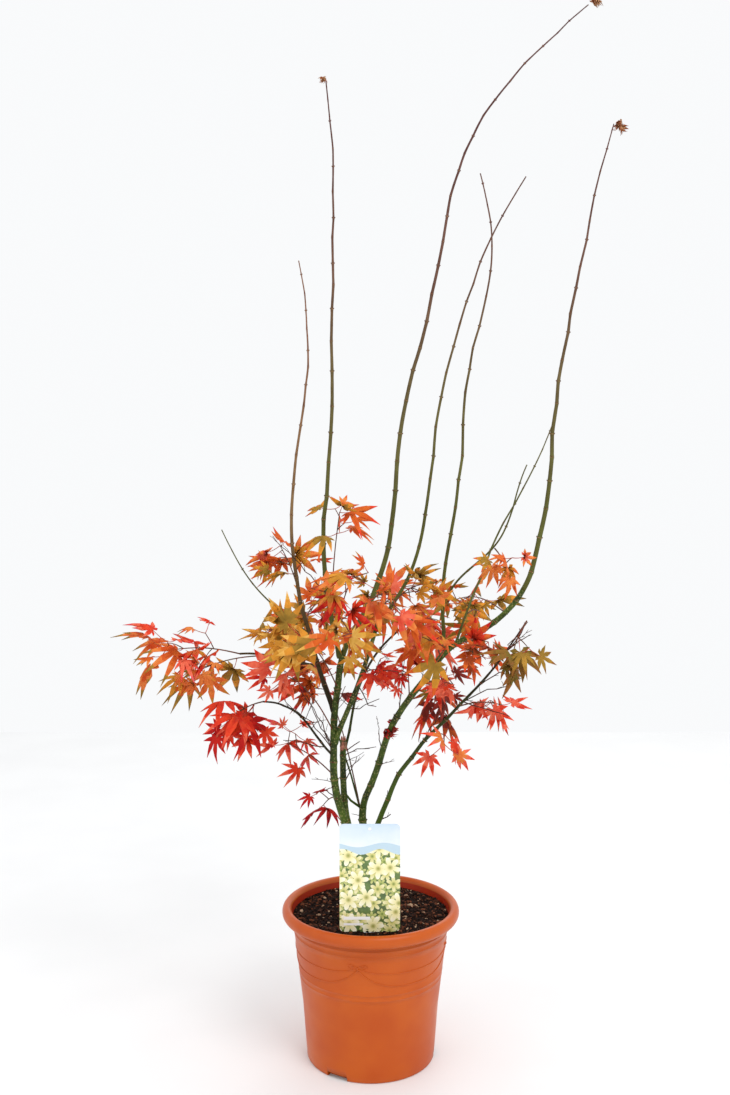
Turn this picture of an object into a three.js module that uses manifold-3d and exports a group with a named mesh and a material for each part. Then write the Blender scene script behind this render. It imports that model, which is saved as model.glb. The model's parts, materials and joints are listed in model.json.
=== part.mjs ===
// A potted Japanese maple in autumn: several green stems from one foot in a terracotta coloured pot,
// long bare whips above a loose crown of red, orange and amber leaves, and a plain care label in the soil.
// Sizes are millimetres, +Z is up, and the origin is the middle of the pot's flat underside.
// X runs to the right and Y away from the side that the label faces.

import * as THREE from 'three';
import { mergeVertices } from 'three/addons/utils/BufferGeometryUtils.js';
import Module from 'manifold-3d';

const wasm = await Module();
wasm.setup();

const up = new THREE.Vector3(0, 0, 1);
const clearance = 0.35;

// The pot is a round tapered tub with a rolled rim, two fine ridges below it and three notches at its foot.
const pot = {
  height: 277.5,
  footRadius: 115.7,
  footRound: 3,
  middleHeight: 100,
  middleRadius: 123,
  shoulderHeight: 222,
  shoulderRadius: 137.5,
  neckHeight: 253.5,
  neckRadius: 142,
  wall: 3,
  floor: 6,
  rimRadius: 151.6,
  rimHalfWide: 8.6,
  rimHalfHigh: 11.3,
  rimStart: -110,
  rimArcSteps: 6,
  ridgeHeights: [232, 245],
  ridgeProud: 1.4,
  ridgeWide: 4,
  facets: 30,
  notchCount: 3,
  notchAngle: 239,
  notchWide: 40,
  notchHigh: 9,
  notchDeep: 12,
};

const soil = { top: 262, edgeDrop: 3, flatShare: 0.7, trunkPatch: 90 };

const label = {
  x: -1.9,
  y: -95,
  width: 104.8,
  bottom: 262.5,
  top: 453,
  thick: 1.2,
  corner: 8,
  holeRadius: 3,
  holeDrop: 9,
  spikeWide: 22,
  spikeLong: 80,
  spikeTip: 8,
};

// Every limb leaves its parent at a share of the parent's length and ends at a tip measured from the origin.
// The bows are the swells of its line, in the plane of its chord and the upright: one hump, two, three and
// so on. The drift is one hump along Y. The radii are at the foot and at the tip.
const limbs = {
  trunk: { foot: [-5, 0, 240], tip: [-10, 0, 345], bow: [0], drift: 0, radii: [13.5, 11], flare: 20 },
  left_stem: { from: 'trunk', at: 0.95, tip: [-65, -15, 575], bow: [-18, 4], drift: 0, radii: [7.5, 6.4] },
  left_leader: {
    from: 'left_stem', at: 1, tip: [-55, 10, 730], bow: [-2, -2], drift: 0, radii: [6.4, 5.6],
  },
  inner_leader: { from: 'left_stem', at: 0.99, tip: [15, -45, 805], bow: [4], drift: 0, radii: [5, 3.4] },
  middle_stem: { from: 'trunk', at: 1, tip: [-20, 10, 455], bow: [4], drift: 0, radii: [7.5, 6.6] },
  cut_stem: { from: 'left_stem', at: 0.35, tip: [-50, 30, 570], bow: [-4], drift: 8, radii: [6, 5.4] },
  thin_leader: {
    from: 'cut_stem', at: 0.78, tip: [75, 75, 785], bow: [-32, 4], drift: 10, radii: [2.6, 1.8],
  },
  right_bough: {
    from: 'middle_stem', at: 0.96, tip: [135, -40, 755], bow: [-17, 1, 4], drift: -10, radii: [6, 5.2],
  },
  right_arm: { from: 'right_bough', at: 1, tip: [270, -35, 850], bow: [15], drift: 0, radii: [5, 4.6] },
  right_whip: {
    from: 'right_arm', at: 1, tip: [435, 60, 1680], bow: [-11, 7, 4, 3], drift: -20, radii: [4.6, 1],
  },
  low_right_bough: {
    from: 'trunk', at: 0.97, tip: [255, -170, 815], bow: [-34, -13, 3], drift: -10, radii: [5.4, 1.9],
  },
  dark_limb: {
    from: 'left_leader', at: 0.34, tip: [-135, 150, 1455], bow: [-39, -23, 5], drift: 30, radii: [4.4, 1],
  },
  left_whip: {
    from: 'left_leader', at: 0.97, tip: [-75, -90, 1705], bow: [-6, -14, -4, -4], drift: -30, radii: [4.7, 1],
  },
  tall_whip: {
    from: 'left_leader', at: 1, tip: [400, 130, 1915], bow: [-82, 50, -4, 12, 6], drift: 30, radii: [5.2, 1],
  },
  crossing_whip: {
    from: 'inner_leader', at: 0.91, tip: [250, -150, 1535], bow: [-10, 26, 6, 4], drift: -10, radii: [3.4, 1],
  },
  bent_whip: {
    from: 'right_bough', at: 0.97, tip: [180, -110, 1550], bow: [5, -15, 6, -9], drift: -40, radii: [3.4, 1],
  },
  outer_green_twig: {
    from: 'right_arm', at: 0.09, tip: [340, 110, 1150], bow: [-5, -3, 2], drift: 10, radii: [2.2, 1],
  },
  inner_green_twig: {
    from: 'bent_whip', at: 0.08, tip: [250, -190, 1070], bow: [14, -10, -8], drift: 0, radii: [2.2, 1],
  },
  bare_left_twig: {
    from: 'dark_limb', at: 0.17, tip: [-280, 120, 950], bow: [-21], drift: 0, radii: [1.8, 1],
  },
  left_low_shoot: {
    from: 'left_stem', at: 0.91, tip: [-190, -40, 655], bow: [21, -8], drift: 0, radii: [2.4, 1.6],
  },
  left_spray_limb: {
    from: 'dark_limb', at: 0.1, tip: [-230, -40, 740], bow: [4, -3], drift: 0, radii: [2.6, 1.8],
  },
};

// Every mass of leaves stands on one stem that leaves a limb. Its reach is measured from that foot to the
// stem's tip. It bears pairs of leaves and side twigs beyond its bare share, and its leaves are about as long
// as its leaf size.
const masses = {
  far_left_spray: {
    limb: 'left_spray_limb', at: 1, reach: [-125, -30, 10], pairs: 4, bare: 0.3,
    leaf: 50, seed: 2727, tint: 'rose', level: true,
  },
  low_left_spray: {
    limb: 'left_spray_limb', at: 0.62, reach: [-150, 30, -40], pairs: 3, bare: 0.4,
    leaf: 50, seed: 486, tint: 'olive',
  },
  left_amber_spray: {
    limb: 'dark_limb', at: 0.12, reach: [-95, -55, 60], pairs: 3, bare: 0.4,
    leaf: 52, seed: 500, tint: 'amber',
  },
  amber_spray: {
    limb: 'left_leader', at: 0.62, reach: [-60, -160, 120], pairs: 4, bare: 0.4,
    leaf: 60, seed: 1729, tint: 'amber',
  },
  left_back_spray: {
    limb: 'dark_limb', at: 0.19, reach: [0, 200, 0], pairs: 3, bare: 0.4,
    leaf: 58, seed: 5604, tint: 'orange',
  },
  upper_left_spray: {
    limb: 'dark_limb', at: 0.25, reach: [-40, 55, 90], pairs: 3, bare: 0.4,
    leaf: 48, seed: 778, tint: 'orange',
  },
  upper_small_spray: {
    limb: 'left_whip', at: 0.07, reach: [15, -45, 195], pairs: 2, bare: 0.8,
    leaf: 44, seed: 899, tint: 'orange',
  },
  red_top_spray: {
    limb: 'left_whip', at: 0.04, reach: [35, -160, 125], pairs: 3, bare: 0.5,
    leaf: 54, seed: 478, tint: 'red',
  },
  leader_spray: {
    limb: 'tall_whip', at: 0.03, reach: [-50, 105, 45], pairs: 3, bare: 0.4,
    leaf: 54, seed: 540, tint: 'orange',
  },
  centre_front_spray: {
    limb: 'inner_leader', at: 1, reach: [20, -165, 50], pairs: 4, bare: 0.4,
    leaf: 60, seed: 1941, tint: 'orange',
  },
  centre_left_spray: {
    limb: 'inner_leader', at: 0.78, reach: [-45, -190, 45], pairs: 3, bare: 0.4,
    leaf: 54, seed: 4471, tint: 'amber',
  },
  centre_back_spray: {
    limb: 'tall_whip', at: 0.08, reach: [35, 225, -15], pairs: 4, bare: 0.4,
    leaf: 58, seed: 543, tint: 'orange',
  },
  mid_red_spray: {
    limb: 'inner_leader', at: 0.55, reach: [35, -90, 25], pairs: 2, bare: 0.5,
    leaf: 46, seed: 441, tint: 'red',
  },
  bright_red_spray: {
    limb: 'right_bough', at: 0.66, reach: [0, 80, 35], pairs: 2, bare: 0.5, leaf: 42, seed: 570, tint: 'red',
  },
  right_top_spray: {
    limb: 'crossing_whip', at: 0.06, reach: [45, -120, 50], pairs: 3, bare: 0.4,
    leaf: 50, seed: 6046, tint: 'olive',
  },
  pale_coral_spray: {
    limb: 'thin_leader', at: 1, reach: [45, 105, -15], pairs: 3, bare: 0.4,
    leaf: 54, seed: 844, tint: 'coral',
  },
  big_orange_spray: {
    limb: 'right_bough', at: 0.93, reach: [-30, -150, 50], pairs: 3, bare: 0.4,
    leaf: 62, seed: 828, tint: 'orange',
  },
  right_olive_spray: {
    limb: 'outer_green_twig', at: 0.12, reach: [30, 80, -5], pairs: 3, bare: 0.4,
    leaf: 48, seed: 1165, tint: 'olive',
  },
  right_red_spray: {
    limb: 'right_arm', at: 0.25, reach: [-5, -100, -15], pairs: 3, bare: 0.4,
    leaf: 52, seed: 54, tint: 'redorange',
  },
  small_orange_spray: {
    limb: 'inner_green_twig', at: 0.5, reach: [15, -35, -30], pairs: 2, bare: 0.4,
    leaf: 38, seed: 309, tint: 'orange',
  },
  right_back_spray: {
    limb: 'right_arm', at: 0.7, reach: [-70, 255, -5], pairs: 3, bare: 0.4,
    leaf: 56, seed: 3386, tint: 'olive',
  },
  far_right_spray: {
    limb: 'low_right_bough', at: 1, reach: [-25, -20, -50], pairs: 2, bare: 0.5,
    leaf: 52, seed: 4605, tint: 'bronze',
  },
  dark_red_spray: {
    limb: 'right_bough', at: 0.8, reach: [25, 95, -65], pairs: 3, bare: 0.4,
    leaf: 52, seed: 1058, tint: 'wine',
  },
  coral_mid_spray: {
    limb: 'right_bough', at: 0.86, reach: [30, -85, -15], pairs: 2, bare: 0.4,
    leaf: 48, seed: 1234, tint: 'coral',
  },
  right_low_spray: {
    limb: 'low_right_bough', at: 0.66, reach: [80, 60, -10], pairs: 2, bare: 0.5,
    leaf: 44, seed: 6366, tint: 'coral',
  },
  coral_drop: {
    limb: 'low_right_bough', at: 0.52, reach: [25, -70, 20], pairs: 1, bare: 0.5,
    leaf: 42, seed: 1973, tint: 'coral',
  },
  red_left_spray: {
    limb: 'left_low_shoot', at: 1, reach: [-45, -40, -15], pairs: 3, bare: 0.3,
    leaf: 54, seed: 353, tint: 'red',
  },
  left_shoot_spray: {
    limb: 'left_leader', at: 0.12, reach: [-80, -110, 130], pairs: 2, bare: 0.75,
    leaf: 44, seed: 625, tint: 'red',
  },
  low_back_spray: {
    limb: 'middle_stem', at: 0.9, reach: [-85, 180, 245], pairs: 3, bare: 0.75,
    leaf: 50, seed: 918, tint: 'red',
  },
  low_shoot_spray: {
    limb: 'left_stem', at: 0.77, reach: [-85, 50, 45], pairs: 2, bare: 0.55,
    leaf: 44, seed: 9408, tint: 'coral',
  },
  crimson_leaf: {
    limb: 'left_stem', at: 0.6, reach: [-25, 50, -30], pairs: 1, bare: 0.5,
    leaf: 40, seed: 4182, tint: 'crimson',
  },
  tall_dry_tuft: {
    limb: 'tall_whip', at: 1, reach: [8, 0, 4], pairs: 1, bare: 1, leaf: 16, seed: 5, tint: 'brown',
  },
  right_dry_tuft: {
    limb: 'right_whip', at: 1, reach: [6, 0, 2], pairs: 1, bare: 1, leaf: 16, seed: 9, tint: 'brown',
  },
  left_dry_tuft: {
    limb: 'left_whip', at: 1, reach: [-3, 0, 4], pairs: 1, bare: 1, leaf: 9, seed: 3, tint: 'brown',
  },
};

// A leaf is a hand of five pointed lobes. Each lobe has its angle from the middle one and its share of that
// one's length.
const leafLobes = [[-76, 0.68], [-38, 0.9], [0, 1], [38, 0.9], [76, 0.68]];
const leafNotch = 0.48;
const leafThick = 1.2;
const leafTries = 14;
const stalkWide = 1.2;
const rootStep = 0.25;
const spaceMargin = 1.5;
const leafApart = 9;
const lobeClear = 6;
const stalkFoot = 6;
const stalkClear = 1.5;
const frontDepth = 40;
// How far a leaf faces the light's side and upwards, and how much of its droop it keeps: as most do, and as
// the level ones of a flat mass do.
const litManner = [0.9, 0.6, 1];
const levelManner = [0.1, 1.4, 0.3];
const twigClear = 2;
const shortTwig = 28;
const longTwig = 60;
const twiggyShare = 0.55;
const stemRadii = [2.4, 1.8];
const twigRadii = [1.8, 1.5];
const twigSides = 3;

// Stouter limbs have more sides: the least foot radius, then the number of sides.
const limbSides = [[10, 10], [5.5, 7], [3, 5], [0, 4]];

const colours = {
  terracotta: { color: 0xd0622d, roughness: 0.5 },
  earth: { color: 0x3c2319, roughness: 0.95 },
  card: { color: 0xc9dcec, roughness: 0.35 },
  bark: { color: 0x5a7030, roughness: 0.7 },
  whipBark: { color: 0x7a6f52, roughness: 0.7 },
  darkBark: { color: 0x33301f, roughness: 0.75 },
  rose: { color: 0xe0505f, roughness: 0.6 },
  olive: { color: 0xb8862a, roughness: 0.6 },
  amber: { color: 0xf0a030, roughness: 0.6 },
  orange: { color: 0xe87a20, roughness: 0.6 },
  redorange: { color: 0xe4502a, roughness: 0.6 },
  red: { color: 0xe02c22, roughness: 0.6 },
  coral: { color: 0xf06a50, roughness: 0.6 },
  bronze: { color: 0x9a7030, roughness: 0.6 },
  wine: { color: 0x8c2a22, roughness: 0.6 },
  crimson: { color: 0xc4182c, roughness: 0.6 },
  brown: { color: 0x6a4a2c, roughness: 0.8 },
};

const tree = new THREE.Group();
const limbSolids = {};

// A small repeatable dice: the same seed always gives the same run of numbers.
function dice(seed) {
  const modulus = 2147483647;
  const factor = 16807;
  let state = (seed * 7919 + 104729) % modulus;
  const draw = (low = 0, high = 1) => {
    state = (state * factor) % modulus;
    return low + (high - low) * state / modulus;
  };
  draw();
  draw();
  draw();
  return draw;
}

// Triangles that have shrunk to a line, as at the poles of a turned shape, are left out.
function wholeTriangles(index) {
  const kept = [];
  for (let i = 0; i < index.length; i += 3) {
    const [a, b, c] = index.slice(i, i + 3);
    if (a !== b && b !== c && c !== a) kept.push(a, b, c);
  }
  return kept;
}

function solidOf(geometry) {
  geometry.deleteAttribute('normal');
  geometry.deleteAttribute('uv');
  const merged = mergeVertices(geometry, 1e-4);
  const vertProperties = new Float32Array(merged.attributes.position.array);
  const triVerts = new Uint32Array(wholeTriangles(merged.index.array));
  return new wasm.Manifold(new wasm.Mesh({ numProp: 3, vertProperties, triVerts }));
}

function geometryOf(solid) {
  const mesh = solid.getMesh();
  const geometry = new THREE.BufferGeometry();
  geometry.setAttribute('position', new THREE.BufferAttribute(new Float32Array(mesh.vertProperties), 3));
  geometry.setIndex(new THREE.BufferAttribute(new Uint32Array(mesh.triVerts), 1));
  geometry.computeVertexNormals();
  return geometry;
}

// Only the largest body of a cut or fused solid is kept, so loose scraps and sealed hollows go.
function largestBody(solid) {
  const bodies = solid.decompose();
  bodies.sort((a, b) => Math.abs(b.volume()) - Math.abs(a.volume()));
  return bodies[0];
}

function addPiece(name, solid, look) {
  const material = new THREE.MeshStandardMaterial({ ...colours[look], metalness: 0 });
  const mesh = new THREE.Mesh(geometryOf(solid), material);
  mesh.name = name;
  tree.add(mesh);
}

function boxesMeet(a, b) {
  const boxA = a.boundingBox();
  const boxB = b.boundingBox();
  return [0, 1, 2].every((i) => boxA.min[i] < boxB.max[i] && boxB.min[i] < boxA.max[i]);
}

// A limb's centre line: its chord, with swells to one side of it. It runs on a little past both
// ends where the limb is made larger to cut its neighbour's seat.
class LimbLine extends THREE.Curve {
  constructor(foot, row, extra = 0) {
    super();
    this.foot = foot;
    this.chord = new THREE.Vector3(...row.tip).sub(foot);
    this.side = new THREE.Vector3(this.chord.z, 0, -this.chord.x).normalize();
    this.bow = row.bow;
    this.drift = row.drift;
    this.extra = extra / this.chord.length();
  }

  at(share) {
    const swell = this.bow.reduce((sum, size, i) => sum + size * Math.sin((i + 1) * Math.PI * share), 0);
    const point = this.foot.clone().addScaledVector(this.chord, share).addScaledVector(this.side, swell);
    point.y += this.drift * Math.sin(Math.PI * share);
    return point;
  }

  getPoint(u, target = new THREE.Vector3()) {
    return target.copy(this.at(-this.extra + u * (1 + 2 * this.extra)));
  }
}

// A tube along a line, swept with a 1 mm ring and then widened station by station.
function taperedTube(line, steps, sides, radiusAt) {
  const ring = new THREE.Shape();
  for (let i = 0; i < sides; i += 1) {
    const angle = 2 * Math.PI * i / sides;
    const place = [Math.cos(angle), Math.sin(angle)];
    if (i === 0) ring.moveTo(...place);
    else ring.lineTo(...place);
  }
  ring.closePath();
  const geometry = new THREE.ExtrudeGeometry(ring, { steps, bevelEnabled: false, extrudePath: line });
  const stations = line.getSpacedPoints(steps);
  const position = geometry.attributes.position;
  const corner = new THREE.Vector3();
  for (let i = 0; i < position.count; i += 1) {
    corner.fromBufferAttribute(position, i);
    let nearest = 0;
    for (let k = 1; k <= steps; k += 1) {
      if (corner.distanceToSquared(stations[k]) < corner.distanceToSquared(stations[nearest])) nearest = k;
    }
    corner.sub(stations[nearest]).multiplyScalar(radiusAt(nearest / steps)).add(stations[nearest]);
    position.setXYZ(i, corner.x, corner.y, corner.z);
  }
  return solidOf(geometry);
}

function limbRadius(row, share) {
  const flare = (row.flare ?? 0) * Math.max(0, 1 - share) ** 5;
  return row.radii[0] + (row.radii[1] - row.radii[0]) * share + flare;
}

function limbFoot(row) {
  if (!row.from) return new THREE.Vector3(...row.foot);
  const parent = limbs[row.from];
  return new LimbLine(limbFoot(parent), parent).at(row.at);
}

function limbSolid(row, extra) {
  const line = new LimbLine(limbFoot(row), row, extra);
  const stepLength = 110;
  const steps = Math.max(3, Math.ceil(line.chord.length() / stepLength) + row.bow.length);
  const sides = limbSides.find(([least]) => row.radii[0] >= least)[1];
  return taperedTube(line, steps, sides, (share) => limbRadius(row, share) + extra);
}

// The trunk's foot is cut flat just above the soil.
function groundSolid() {
  const depth = 60;
  const block = new THREE.BoxGeometry(soil.trunkPatch, soil.trunkPatch, depth);
  block.translate(0, 0, soil.top + clearance - depth / 2);
  return solidOf(block);
}

// Limbs are made from the foot outwards. Each new one is cut clear of those before it, so it sits on its
// parent.
function addLimbs() {
  const grown = { ground: groundSolid() };
  for (const [name, row] of Object.entries(limbs)) {
    let solid = limbSolid(row, 0);
    for (const earlier of Object.values(grown)) {
      if (boxesMeet(solid, earlier)) solid = solid.subtract(earlier);
    }
    limbSolids[name] = largestBody(solid);
    grown[name] = limbSolid(row, clearance);
    const look = row.radii[1] > 4.5 ? 'bark' : 'whipBark';
    addPiece(name, limbSolids[name], name === 'dark_limb' ? 'darkBark' : look);
  }
  return grown;
}

// The points along every limb, with the radius there, that leaves and twigs must keep clear of.
function limbPoints() {
  const spacing = 8;
  const points = [];
  for (const row of Object.values(limbs)) {
    const line = new LimbLine(limbFoot(row), row);
    const count = Math.max(2, Math.ceil(line.chord.length() / spacing));
    for (let i = 0; i <= count; i += 1) {
      const radius = row.radii[0] + (row.radii[1] - row.radii[0]) * i / count;
      points.push({ place: line.at(i / count), radius });
    }
  }
  return points;
}

function distanceToSegment(point, start, end) {
  const run = end.clone().sub(start);
  const share = point.clone().sub(start).dot(run) / Math.max(1e-9, run.lengthSq());
  return point.distanceTo(start.clone().addScaledVector(run, THREE.MathUtils.clamp(share, 0, 1)));
}

function clearOfLimbs(start, end, gap) {
  return obstacles.every(({ place, radius }) => distanceToSegment(place, start, end) - radius >= gap);
}

// A mass's own space is every point that lies nearer to its stem than to any other mass's stem.
function inOwnSpace(mass, points) {
  const bareFoot = 0.3;
  return points.every((point) => {
    const gapTo = ({ foot, tip }) => distanceToSegment(point, foot.clone().lerp(tip, bareFoot), tip);
    const near = plots.map(gapTo);
    const own = near[mass.index];
    return near.every((distance, i) => i === mass.index || own + spaceMargin < distance);
  });
}

function leafPoints(base, ahead, side, size) {
  const spread = (angle, length) => {
    const turn = THREE.MathUtils.degToRad(angle);
    const point = base.clone().addScaledVector(ahead, Math.cos(turn) * length);
    return point.addScaledVector(side, Math.sin(turn) * length);
  };
  const points = [base.clone()];
  leafLobes.forEach(([angle, share], i) => {
    points.push(spread(angle, share * size));
    if (i < leafLobes.length - 1) points.push(spread((angle + leafLobes[i + 1][0]) / 2, leafNotch * size));
  });
  return points;
}

// The blade and its stalk are one plate. The stalk runs back from the blade's base to the joint on the twig.
function leafSolid({ joint, base, ahead, side, size }) {
  const [along, beside] = [new THREE.Vector3(1, 0, 0), new THREE.Vector3(0, 1, 0)];
  const blade = leafPoints(new THREE.Vector3(), along, beside, size).slice(1);
  const back = joint.clone().sub(base);
  back.setLength(back.length() - rootStep);
  const root = new THREE.Vector2(back.dot(ahead), back.dot(side));
  const across = new THREE.Vector2(-root.y, root.x).setLength(stalkWide / 2);
  const outline = [root.clone().add(across), across];
  outline.push(...blade.map((point) => new THREE.Vector2(point.x, point.y)));
  outline.push(across.clone().negate(), root.clone().sub(across));
  const shape = new THREE.Shape(outline);
  const geometry = new THREE.ExtrudeGeometry(shape, { depth: leafThick, bevelEnabled: false });
  geometry.translate(0, 0, -leafThick / 2);
  const face = ahead.clone().cross(side);
  geometry.applyMatrix4(new THREE.Matrix4().makeBasis(ahead, side, face).setPosition(base));
  return solidOf(geometry);
}

function twigSolid(start, end, radii) {
  const run = end.clone().sub(start);
  const geometry = new THREE.CylinderGeometry(radii[1], radii[0], run.length(), twigSides);
  const upright = new THREE.Vector3(0, 1, 0);
  geometry.applyQuaternion(new THREE.Quaternion().setFromUnitVectors(upright, run.clone().normalize()));
  geometry.translate(...start.clone().lerp(end, 0.5).toArray());
  return solidOf(geometry);
}

// Each mass of leaves has one stem. It arches a little between its foot on a limb and its tip.
class Plot {
  constructor(name, row, index) {
    const parent = limbs[row.limb];
    this.name = name;
    this.index = index;
    this.row = row;
    this.foot = new LimbLine(limbFoot(parent), parent).at(row.at);
    this.reach = new THREE.Vector3(...row.reach);
    this.tip = this.foot.clone().add(this.reach);
    this.axis = this.reach.clone().normalize();
    this.length = this.reach.length();
    const flat = this.axis.clone().cross(up);
    this.across = flat.length() > 0.2 ? flat.normalize() : new THREE.Vector3(1, 0, 0);
    this.over = this.across.clone().cross(this.axis);
  }

  stem(share) {
    const arch = 0.06 * this.length * Math.sin(Math.PI * share);
    return this.foot.clone().addScaledVector(this.reach, share).addScaledVector(this.over, arch);
  }
}

// One leaf is tried in several loose attitudes, and the first that keeps to its mass's space and clear of the
// limbs stays. Its blade turns its face up and to the light, which comes from the nearer open side.
function growLeaf(plot, growth, joint, out, scale = 1) {
  const { seed, leaf } = plot.row;
  growth.slot += 1;
  const draw = dice(seed * 131 + growth.slot);
  for (let attempt = 0; attempt < leafTries; attempt += 1) {
    const loose = 0.3 + 0.07 * attempt;
    const [pull, lift, hang] = plot.row.level ? levelManner : litManner;
    const droop = draw(-0.1, 1) * hang;
    const [east, north] = [draw(-loose, loose), draw(-loose, loose)];
    const scatter = new THREE.Vector3(east, north, draw(-loose, loose) * 0.6 - droop);
    const away = out.clone().add(scatter).normalize();
    const base = joint.clone().addScaledVector(away, leaf * draw(0.35, 0.8 - 0.02 * attempt));
    const light = joint.y < frontDepth ? -pull : pull;
    const face = new THREE.Vector3(draw(-0.7, 0.7), light + draw(-0.7, 0.7), lift + draw(-0.7, 0.7));
    const flat = face.cross(away);
    if (flat.length() > 0.05) flat.normalize();
    else flat.set(1, 0, 0);
    const turn = draw(-0.5, 0.5);
    const ahead = away.clone().multiplyScalar(Math.cos(turn)).addScaledVector(flat, Math.sin(turn));
    const side = flat.clone().multiplyScalar(Math.cos(turn)).addScaledVector(away, -Math.sin(turn));
    const size = leaf * scale * draw(0.85, 1.2) * (1 - 0.015 * attempt);
    const points = leafPoints(base, ahead, side, size);
    const lobeTips = points.filter((point, i) => i % 2 === 1);
    const marks = [base, ...lobeTips, ...lobeTips.map((tip) => tip.clone().lerp(base, 0.5))];
    const fits = growth.marks.every((mark) => marks.every((own) => own.distanceTo(mark) >= leafApart))
      && inOwnSpace(plot, points)
      && lobeTips.every((tip) => clearOfLimbs(base, tip, lobeClear))
      && clearOfLimbs(joint.clone().addScaledVector(away, stalkFoot), base, stalkClear);
    if (fits) {
      growth.leaves.push({ joint, base, ahead, side, size });
      growth.marks.push(...marks);
      return;
    }
  }
}

// Leaves and side twigs stand in opposite pairs, each pair turned from the last.
function growMass(plot) {
  const { seed, pairs, bare } = plot.row;
  const growth = { twigs: [], leaves: [], marks: [], slot: 0 };
  for (let i = 0; i < pairs; i += 1) {
    const last = i === pairs - 1;
    const joint = plot.stem(pairs > 1 ? bare + (1 - bare) * i / (pairs - 1) : 1);
    const draw = dice(seed * 17 + i * 1009);
    const turn = THREE.MathUtils.degToRad((i % 2 === 0 ? 0 : 55) + draw(-20, 20));
    const plane = plot.across.clone().multiplyScalar(Math.cos(turn));
    plane.addScaledVector(plot.over, Math.sin(turn));
    for (const hand of [1, -1]) {
      const outwards = plane.clone().multiplyScalar(hand);
      const twiggy = draw() < twiggyShare && !last;
      const leafWay = outwards.clone().addScaledVector(plot.axis, last ? 0.8 : 0.35).normalize();
      if (!twiggy) {
        growLeaf(plot, growth, joint, leafWay);
        continue;
      }
      const length = Math.max(shortTwig, plot.length * draw(0.22, 0.4));
      const way = outwards.multiplyScalar(0.8).addScaledVector(plot.axis, 0.6);
      way.addScaledVector(up, draw(-0.1, 0.2)).normalize();
      const tip = joint.clone().addScaledVector(way, length);
      const middle = joint.clone().addScaledVector(way, length * 0.5);
      const start = joint.clone().addScaledVector(way, stalkFoot);
      if (!inOwnSpace(plot, [middle, tip]) || !clearOfLimbs(start, tip, twigClear)) {
        growLeaf(plot, growth, joint, leafWay);
        continue;
      }
      growth.twigs.push([joint, tip]);
      const beside = way.clone().cross(up).normalize();
      for (const turned of [1, -1]) {
        const forked = way.clone().multiplyScalar(0.7).addScaledVector(beside, 0.8 * turned).normalize();
        growLeaf(plot, growth, tip, forked);
      }
      if (length > longTwig) {
        for (const turned of [1, -1]) {
          const aside = way.clone().multiplyScalar(0.4).addScaledVector(beside, 0.9 * turned).normalize();
          growLeaf(plot, growth, middle, aside, 0.85);
        }
      }
    }
  }
  return growth;
}

function addMasses(grownLimbs) {
  const stemSteps = 3;
  for (const plot of plots) {
    const growth = growMass(plot);
    const places = Array.from({ length: stemSteps + 1 }, (_, i) => plot.stem(i / stemSteps));
    const line = new THREE.CatmullRomCurve3(places);
    const thickness = (share) => stemRadii[0] + (stemRadii[1] - stemRadii[0]) * share;
    let solid = taperedTube(line, stemSteps, twigSides, thickness);
    for (const [start, end] of growth.twigs) solid = solid.add(twigSolid(start, end, twigRadii));
    for (const leaf of growth.leaves) solid = solid.add(leafSolid(leaf));
    for (const limb of Object.values(grownLimbs)) {
      if (boxesMeet(solid, limb)) solid = solid.subtract(limb);
    }
    addPiece(plot.name, largestBody(solid), plot.row.tint);
  }
}

// The pot's wall is one closed profile: underside, wall, two ridges, rolled rim and inner face.
function addPot() {
  const outer = [[0, 0], [pot.footRadius - pot.footRound, 0], [pot.footRadius, pot.footRound]];
  outer.push([pot.middleRadius, pot.middleHeight], [pot.shoulderRadius, pot.shoulderHeight]);
  const wallAt = (height) => {
    const share = (height - pot.shoulderHeight) / (pot.neckHeight - pot.shoulderHeight);
    return pot.shoulderRadius + (pot.neckRadius - pot.shoulderRadius) * share;
  };
  for (const height of pot.ridgeHeights) {
    outer.push([wallAt(height), height - pot.ridgeWide / 2]);
    outer.push([wallAt(height) + pot.ridgeProud, height]);
    outer.push([wallAt(height), height + pot.ridgeWide / 2]);
  }
  const rimHeight = pot.height - pot.rimHalfHigh;
  for (let i = 0; i <= pot.rimArcSteps; i += 1) {
    const roll = THREE.MathUtils.degToRad(pot.rimStart + (180 - pot.rimStart) * i / pot.rimArcSteps);
    const radius = pot.rimRadius + pot.rimHalfWide * Math.cos(roll);
    outer.push([radius, rimHeight + pot.rimHalfHigh * Math.sin(roll)]);
  }
  const inner = [[pot.neckRadius - pot.wall, pot.neckHeight]];
  inner.push([pot.shoulderRadius - pot.wall, pot.shoulderHeight]);
  inner.push([pot.middleRadius - pot.wall, pot.middleHeight]);
  inner.push([pot.footRadius - pot.wall, pot.floor], [0, pot.floor]);
  const profile = [...outer, ...inner].map(([radius, height]) => new THREE.Vector2(radius, height));
  let solid = latheSolid(profile);
  for (let i = 0; i < pot.notchCount; i += 1) {
    const notch = new THREE.BoxGeometry(pot.notchDeep * 2, pot.notchWide, pot.notchHigh * 2);
    notch.translate(pot.footRadius, 0, 0);
    notch.rotateZ(THREE.MathUtils.degToRad(pot.notchAngle) + 2 * Math.PI * i / pot.notchCount);
    solid = solid.subtract(solidOf(notch));
  }
  addPiece('pot', solid, 'terracotta');
}

function latheSolid(profile) {
  const geometry = new THREE.LatheGeometry(profile, pot.facets);
  geometry.rotateX(Math.PI / 2);
  return solidOf(geometry);
}

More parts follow.
